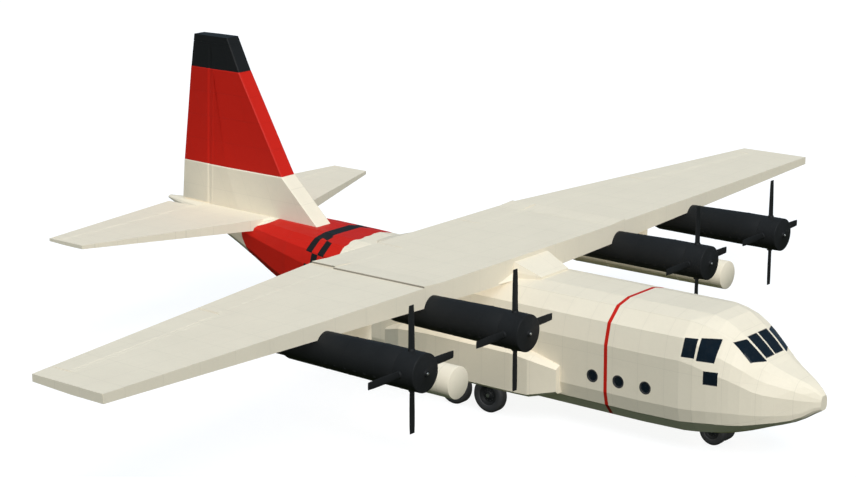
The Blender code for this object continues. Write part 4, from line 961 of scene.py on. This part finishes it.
class PLANE_OT_nacelles(PlaneOperator, bpy.types.Operator):
    """Engine nacelles with cowl bands, latches and exhausts"""

    bl_idname = "plane.nacelles"
    bl_label = "Nacelles"

    def execute(self, context):
        for number, y, tail_x, tail_z in ENGINES:
            draft = Draft()
            stations = [(x, *halves, ENGINE_Z - drop) for x, *halves, drop in NACELLE_BODY]
            stations += [(tail_x + 1.0, 0.40, 0.46, ENGINE_Z + 0.12), (tail_x, 0.14, 0.14, tail_z)]
            front = [(x, radius, radius, ENGINE_Z) for x, radius in NACELLE_FRONT]
            draft.rings([self.oval(y, *station) for station in front + stations])
            for x in COWL_BANDS:
                band = []
                for along, out in COWL_BAND:
                    _, half_width, half_height, centre_z = between(stations, x + along)
                    band.append(self.oval(y, x + along, half_width + out, half_height + out, centre_z))
                draft.rings(band, closed=True)
            self.latches(draft, y, stations)
            draft.finish = 1
            end, (inner, outer) = tail_x + 1.25, EXHAUST_RADII
            pipe = [(inner, end), (outer, end), (outer, 2.0), (inner, 2.0)]
            for side in (-1, 1):
                place = (0.0, y + EXHAUST_Y * side, ENGINE_Z - EXHAUST_DROP)
                draft.turned(pipe, "X", place, 28, closed=True)
            draft.piece(
                f"Nacelle{number}", "airframe", "black_paint", finishes("black", "exhaust"),
                replaces=(f"nacelle_{number}",),
            )
        return {"FINISHED"}

    def oval(self, y, x, half_width, half_height, centre_z):
        """An upright oval across the nacelle."""
        return [(x, y + half_width * cos(t), centre_z + half_height * sin(t)) for t in turns_of(64, 0.5)]

    def latches(self, draft, y, stations):
        """Cowl latches along the lower seams of each side."""
        out, up = cos(radians(LATCH_ANGLE)), sin(radians(LATCH_ANGLE))
        reach = Vector(LATCH_SIZE) / 2
        for side in (-1, 1):
            for k in range(LATCHES):
                x = LATCH_X + LATCH_PITCH * k
                _, half_width, half_height, _ = between(stations, x)
                centre = Vector((x, y + half_width * out * side, ENGINE_Z + half_height * up))
                draft.block(centre - reach, centre + reach, 0.006)


class PLANE_OT_tanks(PlaneOperator, bpy.types.Operator):
    """Tanks with their pylons, hoops and filler caps"""

    bl_idname = "plane.tanks"
    bl_label = "Tanks"

    def execute(self, context):
        for name, side in SIDES:
            y = TANK_Y * side
            draft = Draft()
            draft.turned(TANK_PROFILE, "X", (0.0, y, TANK_Z), 64)
            for x in TANK_HOOPS:
                draft.hoop(y, TANK_Z, x, 0.536, 0.010, 0.035, 0.005)
            self.pylon(draft, y)
            draft.finish = 1
            draft.rings([
                [(FILLER_X + radius * cos(t), y + radius * sin(t), TANK_Z + height) for t in turns_of(24)]
                for radius, height in FILLER_PROFILE
            ])
            draft.piece(
                f"Tank{name.title()}", "airframe", "tank_paint", finishes("cream", "hub"),
                replaces=(f"tank_{name}",),
            )
        return {"FINISHED"}

    def pylon(self, draft, y):
        """A slim upright blade with a rounded front and a thin rear edge."""
        back, front = PYLON_X
        half = PYLON_THICKNESS / 2
        outline = [(back, 0.012), (back + 0.9, half * 0.8), (back + 1.6, half), (front - 0.5, half)]
        outline += [(front - 0.2, half * 0.86), (front - 0.06, half * 0.5), (front, 0.01)]
        loop = [(x, y + w) for x, w in outline] + [(x, y - w) for x, w in reversed(outline)]
        draft.rings([[(x, across, z) for x, across in loop] for z in (TANK_Z + 0.46, PYLON_TOP)])


class PLANE_OT_wheels(PlaneOperator, bpy.types.Operator):
    """Main and nose wheels with grooved tyres, dished hubs and bolts"""

    bl_idname = "plane.wheels"
    bl_label = "Wheels"

    def execute(self, context):
        details = context.scene.plane_details
        for name, side in SIDES:
            for end, x in MAIN_WHEELS:
                place = (x, MAIN_WHEEL_Y * side)
                draft = self.wheel(details, place, MAIN_WHEEL_RADIUS, MAIN_WHEEL_WIDTH, side, 5, 0.073)
                node = f"main_wheel_{name}_{end}"
                draft.piece(
                    f"MainWheel{name.title()}{end.title()}", node, "tyre",
                    finishes("rubber", "wheel", "hub"), replaces=(node,),
                )
            place = (NOSE_GEAR_X, NOSE_WHEEL_Y * side)
            draft = self.wheel(details, place, NOSE_WHEEL_RADIUS, NOSE_WHEEL_WIDTH, side, 4, 0.053)
            draft.piece(
                f"NoseWheel{name.title()}", "nose_wheels", "tyre", finishes("rubber", "wheel", "hub"),
                replaces=(f"nose_wheel_{name}",),
            )
        return {"FINISHED"}

    def wheel(self, details, place, radius, width, side, grooves, bore):
        """A tyre with grooves round its tread, and a dished hub with bolts, standing on the ground."""
        draft = Draft()
        centre = (*place, radius)
        half = width / 2
        flanks = [(radius * r, half * w) for r, w in TYRE_WALL]
        profile = [(r, -w) for r, w in flanks]
        crown = half * 0.62
        depth = details.groove_depth
        pitch = 2 * crown / grooves
        for k in range(grooves):
            start = -crown + pitch * k
            if k:
                profile += [(radius - depth, start - pitch * 0.10), (radius - depth, start + pitch * 0.10)]
            profile += [(radius, start + pitch * 0.14), (radius, start + pitch * 0.86)]
        profile += [(r, w) for r, w in reversed(flanks)]
        closing = [(radius * 0.54, half * 0.70), (radius * 0.54, -half * 0.70)]
        draft.turned(profile + closing, "Y", centre, 56, closed=True)
        draft.finish = 1
        outer = [(bore, 0.34), (bore, 0.62)] + [(radius * r, w) for r, w in HUB_DISH]
        inner = [(r, -w) for r, w in reversed(outer)]
        hub = [(r, w * half) for r, w in outer + inner]
        draft.turned(hub, "Y", centre, 56, closed=True)
        circle, out = 0.32 * radius, 0.43 * half * side
        turns = turns_of(details.wheel_bolts)
        bolts = [Vector(centre) + Vector((circle * cos(t), out, circle * sin(t))) for t in turns]
        draft.finish = 2
        draft.studs(bolts, (0, side, 0), 0.022 * radius, 0.03 * radius, 6)
        return draft


class PLANE_OT_wing_fittings(PlaneOperator, bpy.types.Operator):
    """Steps at the wing joints with a dark strip of painted shade on their upright faces, and boots on the
    front edges of wing and tailplane
    """

    bl_idname = "plane.wing_fittings"
    bl_label = "Wing Fittings"

    def execute(self, context):
        for name, side in SIDES:
            draft = Draft()
            self.step(draft, side, (3.20, -0.84), WING_KINK_Y + 0.05)
            across, top = (WING_KINK_Y - 0.03) * side, WING_TOP_Z + STEP_HEIGHT - 0.006
            draft.studs([(2.95 - 0.18 * k, across, top) for k in range(21)], (0, 0, 1), 0.009, 0.004, 6)
            draft.piece(f"WingStep{name.title()}", "airframe", "wing_paint", finishes("wing", "painted_step_shade"))
            draft = Draft()
            self.step(draft, side, (-0.88, -1.97), WING_KINK_Y - 0.10)
            draft.piece(
                f"FlapStep{name.title()}", f"flap_{name}_inner", "wing_paint", finishes("wing", "painted_step_shade"),
            )
        self.leading_edges()
        return {"FINISHED"}

    def step(self, draft, side, reach, outer):
        """A plate over the joint, upright on its outer side and run out thin on its inner side, with a dark
        strip of painted shade on the upright side.
        """
        top = WING_TOP_Z
        front, back = reach
        section = [
            # y, z
            (outer, top - 0.004), (outer, top + STEP_HEIGHT), (outer - 0.25, top + STEP_HEIGHT * 0.8),
            (outer - 0.95, top + 0.003), (outer - 0.95, top - 0.004),
        ]
        draft.rings([[(x, y * side, z) for y, z in section] for x in (front, back)])
        # A dark strip over the upright outer face: painted shade where that face stands in shade
        draft.finish = 1
        strip = [(outer - 0.001, top - 0.003), (outer - 0.001, top + STEP_HEIGHT - 0.002),
                 (outer + 0.008, top + STEP_HEIGHT - 0.004), (outer + 0.008, top - 0.003)]
        draft.rings([[(x, y * side, z) for y, z in strip] for x in (front - 0.005, back + 0.005)])
        draft.finish = 0

    def leading_edges(self):
        """Boots that square off the front edges of wing and tailplane."""
        draft = Draft()
        for top, *stations in LEADING_EDGES:
            for _, side in SIDES:
                rings = []
                for y, front, chord, thickness in stations:
                    ahead, back = front + 0.004, front - 0.020 * chord
                    low, high = top - thickness - 0.002, top + 0.002
                    section = [(ahead, low), (ahead, high), (back, high), (back, low)]
                    rings.append([(x, y * side, z) for x, z in section])
                draft.rings(rings)
        draft.piece("LeadingEdges", "airframe", "wing_paint", finishes("wing"))


class PLANE_OT_hinge_seals(PlaneOperator, bpy.types.Operator):
    """Thin plates that close the gaps ahead of ailerons, flaps and elevators"""

    bl_idname = "plane.hinge_seals"
    bl_label = "Hinge Seals"

    def execute(self, context):
        draft = Draft()
        for top, *ends in HINGE_SEALS:
            for _, side in SIDES:
                draft.rings([
                    [(back, y * side, top + 0.003), (back, y * side, top + 0.005),
                     (ahead - 0.06, y * side, top + 0.005), (ahead, y * side, top - 0.002)]
                    for y, back, ahead in ends
                ])
        draft.piece("HingeSeals", "airframe", "wing_paint", finishes("wing"))
        return {"FINISHED"}


class PLANE_OT_fin(PlaneOperator, bpy.types.Operator):
    """Thick flat-sided fin, its rudder with a round nose, and the lips between them"""

    bl_idname = "plane.fin"
    bl_label = "Fin and Rudder"

    def execute(self, context):
        levels = [row[0] for row in FIN_ROWS if row[0] < RUDDER_TOP_Z] + [RUDDER_TOP_Z + 0.008]
        draft = Draft()
        draft.rings([self.fin_ring(z) for z in levels])
        draft.rings([self.fin_ring(z, whole=True) for z in (RUDDER_TOP_Z + 0.012, FIN_ROWS[-1][0])])
        for side in (-1, 1):
            rings = []
            for z in levels[:-1] + [RUDDER_TOP_Z]:
                hinge, radius = self.hinge(z)
                far = self.half(z, hinge + radius + 0.05)
                ahead = 0.34 * radius + 0.03
                low = sqrt(radius ** 2 - ahead ** 2) + 0.008
                section = [(ahead, low), (ahead, radius + 0.006)]
                section += [(radius, far + 0.006), (radius + 0.08, far - 0.003)]
                rings.append([(hinge + x, y * side, z) for x, y in section])
            draft.rings(rings)
        draft.piece("Fin", "airframe", "tail_paint", finishes("fin"), replaces=("fin",), sharp=12)
        draft = Draft()
        draft.rings([self.rudder_ring(z) for z in [RUDDER_FOOT_Z] + levels[1:-1] + [RUDDER_TOP_Z]])
        draft.piece("Rudder", "rudder", "tail_paint", finishes("fin"), replaces=("rudder",))
        return {"FINISHED"}

    def half(self, z, x):
        """Half thickness: even over the front of the chord, then thinning to the trailing edge."""
        _, lead, trail, front, rear = between(FIN_ROWS, z)
        share = max((lead - x) / (lead - trail) - 0.55, 0.0) / 0.45
        return front + (rear - front) * share

    def hinge(self, z):
        """The hinge's x at a height, and the radius of the rudder's nose there."""
        x = -12.60 + 0.32 * (z - 5.10) / 6.32
        return x, self.half(z, x)

    def fin_ring(self, z, whole=False):
        """The fin's outline at a height, which ends at the rudder unless it is whole."""
        _, lead, trail, front, _ = between(FIN_ROWS, z)
        hinge, radius = self.hinge(z)
        back = trail if whole else hinge + radius + 0.012
        port = [(lead, front * 0.9), (lead - 0.03, front)]
        port += [(lead + 0.55 * (trail - lead), front), (back, self.half(z, back))]
        return [(x, y, z) for x, y in port] + [(x, -y, z) for x, y in reversed(port)]

    def rudder_ring(self, z):
        """The rudder's outline at a height, round in front."""
        _, _, trail, _, rear = between(FIN_ROWS, z)
        hinge, radius = self.hinge(z)
        turns = [pi * (k / 16 - 0.5) for k in range(17)]
        nose = [(hinge + radius * cos(turn), radius * sin(turn), z) for turn in turns]
        return nose + [(trail, rear, z), (trail, -rear, z)]


class PLANE_OT_cockpit(PlaneOperator, bpy.types.Operator):
    """Pilots' seats with their cushions, control wheels and the dials of the instrument panel"""

    bl_idname = "plane.cockpit"
    bl_label = "Cockpit"

    def execute(self, context):
        floor = FLIGHT_DECK_Z + 0.01
        for name, side in SIDES:
            y, half = SEAT_Y * side, SEAT_WIDTH / 2
            draft = Draft()
            for x_low, x_high, reach, z_low, z_high, bevel in SEAT_BLOCKS:
                low = (SEAT_X + x_low, y - reach, floor + z_low)
                draft.block(low, (SEAT_X + x_high, y + reach, floor + z_high), bevel)
            back = [(-0.20, 0.34), (-0.13, 0.34), (-0.255, 1.27), (-0.31, 1.27)]
            across = (y - half + 0.02, y + half - 0.02)
            draft.rings([[(SEAT_X + x, w, floor + z) for x, z in back] for w in across])
            for w in (y - half + 0.025, y + half - 0.025):
                arm = [(-0.17, 0.58), (-0.02, 0.64), (0.16, 0.65), (0.20, 0.62)]
                draft.tube([(SEAT_X + x, w, floor + z) for x, z in arm], 0.022, 10)
            draft.piece(
                f"PilotChairFrame{name.title()}", "airframe", "cabin_grey", finishes("cabin"),
                replaces=(f"pilot_seat_{name}",),
            )
            for pad, x, z, half_size, lean in SEAT_PADS:
                self.cushion(f"Pilot{pad}{name.title()}", (SEAT_X + x, y, floor + z), half_size, lean)
        draft = Draft()
        for _, side in SIDES:
            self.control_wheel(draft, SEAT_Y * side, floor)
        draft.piece("ControlWheels", "airframe", "cabin_grey", finishes("wheel"))
        draft = Draft()
        for row, z in enumerate(DIAL_ROWS):
            x = 12.50 + (z - 0.55) / 0.35 * 0.12
            for k in range(DIALS_IN_ROW):
                self.dial(draft, x, -0.94 + DIAL_PITCH * k, floor + z, 0.058 - 0.008 * row)
        draft.piece("PanelDials", "airframe", "cabin_grey", finishes("wheel", "dial"))
        return {"FINISHED"}

    def cushion(self, name, centre, half_size, lean):
        """A crowned pad whose sides pull in between its corners, with sewn channels and a corded seam."""
        half_size = Vector(half_size)
        turn = Matrix.Rotation(radians(-lean), 3, "Y")
        rings = []
        for k in range(CUSHION_RINGS):
            level = -cos(pi * k / (CUSHION_RINGS - 1))
            size = max(1 - abs(level) ** 3.2, 0.0) ** 0.42 * 0.92 + 0.08
            ring = []
            for around in turns_of(48, 0.5):
                u, v = (abs(f) ** 0.36 * (1 if f > 0 else -1) for f in (cos(around), sin(around)))
                u, v = u * (1 - 0.045 * (1 - v * v)), v * (1 - 0.045 * (1 - u * u))
                channel = 0.10 * max(0.0, 1 - abs(abs(u * size) - 0.36) / 0.05) if level > 0 else 0.0
                crown = level * (0.78 + 0.22 * (1 - size * max(abs(u), abs(v))) - channel)
                ring.append(Vector(centre) + turn @ (half_size * Vector((u * size, v * size, crown))))
            rings.append(ring)
        draft = Draft()
        draft.rings(rings)
        draft.tube(rings[CUSHION_RINGS // 2], 0.006, 6, closed=True)
        obj = draft.piece(name, "airframe", "seat_fabric", finishes("fabric"), sharp=80)

    def control_wheel(self, draft, y, floor):
        """A rim open at its foot, with a spoke and a column."""
        hub = Vector((12.30, y, floor + 0.68))
        draft.tube([(12.52, y, floor + 0.62), hub], 0.02, 12)
        rim = []
        for k in range(19):
            turn = radians(-235 + 290 * k / 18)
            rim.append(hub + Vector((0.0, 0.15 * cos(turn), -0.15 * sin(turn) * 0.8)))
        draft.tube(rim, 0.014, 10)
        draft.tube([hub + Vector((0.0, -0.15, 0.0)), hub + Vector((0.0, 0.15, 0.0))], 0.016, 10)

    def dial(self, draft, x, y, z, radius):
        """A raised lip round a clear cover."""
        draft.finish = 0
        lip = [(1.0, 0.02), (1.0, -0.012), (0.9, -0.016), (0.86, -0.008), (0.86, 0.02)]
        draft.turned([(radius * r, x + along) for r, along in lip], "X", (0.0, y, z), 24, closed=True)
        draft.finish = 1
        cover = [(0.0, -0.006), (0.87, -0.006), (0.87, 0.01), (0.0, 0.01)]
        draft.turned([(radius * r, x + along) for r, along in cover], "X", (0.0, y, z), 24)


class PLANE_OT_stage(PlaneOperator, bpy.types.Operator):
    """Pale floor, soft light and the camera of the photograph"""

    bl_idname = "plane.stage"
    bl_label = "Stage"

    def execute(self, context):
        stage = context.scene.plane_stage
        floor = self.floor(stage)
        self.lights(context, stage)
        self.camera(context, stage)
        return {"FINISHED"}

    def floor(self, stage):
        recipe = Recipe("StudioFloor")
        colour = recipe.scaled(stage.floor, recipe.line(recipe.noise(0.2, 2.0), 0.02, 0.99))
        recipe.shader.inputs["Emission Color"].default_value = (1.0, 1.0, 1.0, 1.0)
        recipe.ends(colour, 0.95, Emission_Strength=stage.floor_glow, Specular_IOR_Level=0.0)
        mesh = bpy.data.meshes.new("StudioFloor")
        places = ((-1, -1), (1, -1), (1, 1), (-1, 1))
        corners = [(x * FLOOR_REACH, y * FLOOR_REACH, -0.001) for x, y in places]
        mesh.from_pydata(corners, [], [(0, 1, 2, 3)])
        mesh.materials.append(recipe.material)
        floor = bpy.data.objects.new("StudioFloor", mesh)
        floor.visible_diffuse = False
        floor.visible_glossy = False
        bpy.context.scene.collection.objects.link(floor)
        return floor

    def lights(self, context, stage):
        scene = context.scene
        scene.view_settings.view_transform = "Standard"
        self.surroundings(scene, stage)
        share, white = stage.shadow_share, (1.0, 1.0, 1.0)
        rows = (
            # name, strength, colour, spread in degrees, whether it casts shadows, way to the light
            ("KeyLight", stage.key_power * (1 - share), white, 8.0, False, KEY_DIRECTION),
            ("ShadowLight", stage.key_power * share, white, 30.0, True, KEY_DIRECTION),
            ("SideFill", stage.fill_power, FILL_COLOUR, 20.0, False, (0.0, 1.0, 0.0)),
            ("RearFill", stage.fill_power * 0.6, FILL_COLOUR, 20.0, False, (-1.0, 0.0, 0.0)),
        )
        for name, power, colour, spread, shadows, towards in rows:
            light = bpy.data.lights.new(name, "SUN")
            light.energy = power
            light.angle = radians(spread)
            light.color = colour
            light.use_shadow = shadows
            lamp = bpy.data.objects.new(name, light)
            lamp.rotation_euler = Vector(towards).to_track_quat("Z", "Y").to_euler()
            lamp.visible_glossy = "Fill" not in name
            scene.collection.objects.link(lamp)

    def surroundings(self, scene, stage):
        """Cool light from above, dim light from below, and plain white behind the floor."""
        world = bpy.data.worlds.new("StudioLight")
        world.use_nodes = True
        nodes, links = world.node_tree.nodes, world.node_tree.links
        direction = nodes.new("ShaderNodeTexCoord")
        apart = nodes.new("ShaderNodeSeparateXYZ")
        links.new(direction.outputs["Generated"], apart.inputs[0])
        share = nodes.new("ShaderNodeMapRange")
        for index, number in enumerate((-0.05, 0.05, 0.0, 1.0), 1):
            share.inputs[index].default_value = number
        links.new(apart.outputs[2], share.inputs[0])
        light = nodes.new("ShaderNodeMix")
        light.data_type = "RGBA"
        light.inputs[6].default_value = (*stage.ground, 1.0)
        light.inputs[7].default_value = (*stage.sky, 1.0)
        links.new(share.outputs[0], light.inputs[0])
        seen = nodes.new("ShaderNodeMix")
        seen.data_type = "RGBA"
        seen.inputs[7].default_value = (1.0, 1.0, 1.0, 1.0)
        links.new(nodes.new("ShaderNodeLightPath").outputs["Is Camera Ray"], seen.inputs[0])
        links.new(light.outputs[2], seen.inputs[6])
        links.new(seen.outputs[2], nodes["Background"].inputs["Color"])
        scene.world = world

    def camera(self, context, stage):
        azimuth, elevation, roll = (radians(a) for a in (CAMERA_AZIMUTH, CAMERA_ELEVATION, CAMERA_ROLL))
        back = Vector((sin(azimuth) * cos(elevation), -cos(azimuth) * cos(elevation), sin(elevation)))
        right = (-back).cross(Vector((0, 0, 1))).normalized()
        up = right.cross(-back)
        across = right * cos(roll) + up * sin(roll)
        over = up * cos(roll) - right * sin(roll)
        camera = bpy.data.cameras.new("PhotoCamera")
        camera.lens = stage.lens
        camera.sensor_width = 36.0
        camera.clip_end = 1000.0
        obj = bpy.data.objects.new("PhotoCamera", camera)
        turn = Matrix((across, over, back)).transposed().to_4x4()
        obj.matrix_world = Matrix.Translation(CAMERA_PLACE) @ turn
        context.scene.collection.objects.link(obj)
        context.scene.camera = obj


OPERATORS = (
    PLANE_OT_finishes,
    PLANE_OT_windows,
    PLANE_OT_propellers,
    PLANE_OT_nacelles,
    PLANE_OT_tanks,
    PLANE_OT_wheels,
    PLANE_OT_wing_fittings,
    PLANE_OT_hinge_seals,
    PLANE_OT_fin,
    PLANE_OT_cockpit,
    PLANE_OT_stage,
)


class PLANE_PT_sidebar(bpy.types.Panel):
    """The plane's pieces and settings"""

    bl_label = "Transport Plane"
    bl_idname = "PLANE_PT_sidebar"
    bl_space_type = "VIEW_3D"
    bl_region_type = "UI"
    bl_category = "Transport Plane"

    def draw(self, context):
        layout = self.layout
        for group in (context.scene.plane_livery, context.scene.plane_details, context.scene.plane_stage):
            box = layout.box()
            for name in group.__annotations__:
                box.prop(group, name)
        column = layout.column(align=True)
        for operator in OPERATORS:
            column.operator(operator.bl_idname)


CLASSES = (PlaneLivery, PlaneDetails, PlaneStage, *OPERATORS, PLANE_PT_sidebar)


def register():
    for item in CLASSES:
        bpy.utils.register_class(item)
    bpy.types.Scene.plane_livery = PointerProperty(type=PlaneLivery)
    bpy.types.Scene.plane_details = PointerProperty(type=PlaneDetails)
    bpy.types.Scene.plane_stage = PointerProperty(type=PlaneStage)


def unregister():
    del bpy.types.Scene.plane_stage
    del bpy.types.Scene.plane_details
    del bpy.types.Scene.plane_livery
    for item in reversed(CLASSES):
        bpy.utils.unregister_class(item)


def main():
    register()
    for operator in OPERATORS:
        group, name = operator.bl_idname.split(".")
        getattr(getattr(bpy.ops, group), name)()


if __name__ == "__main__":
    main()
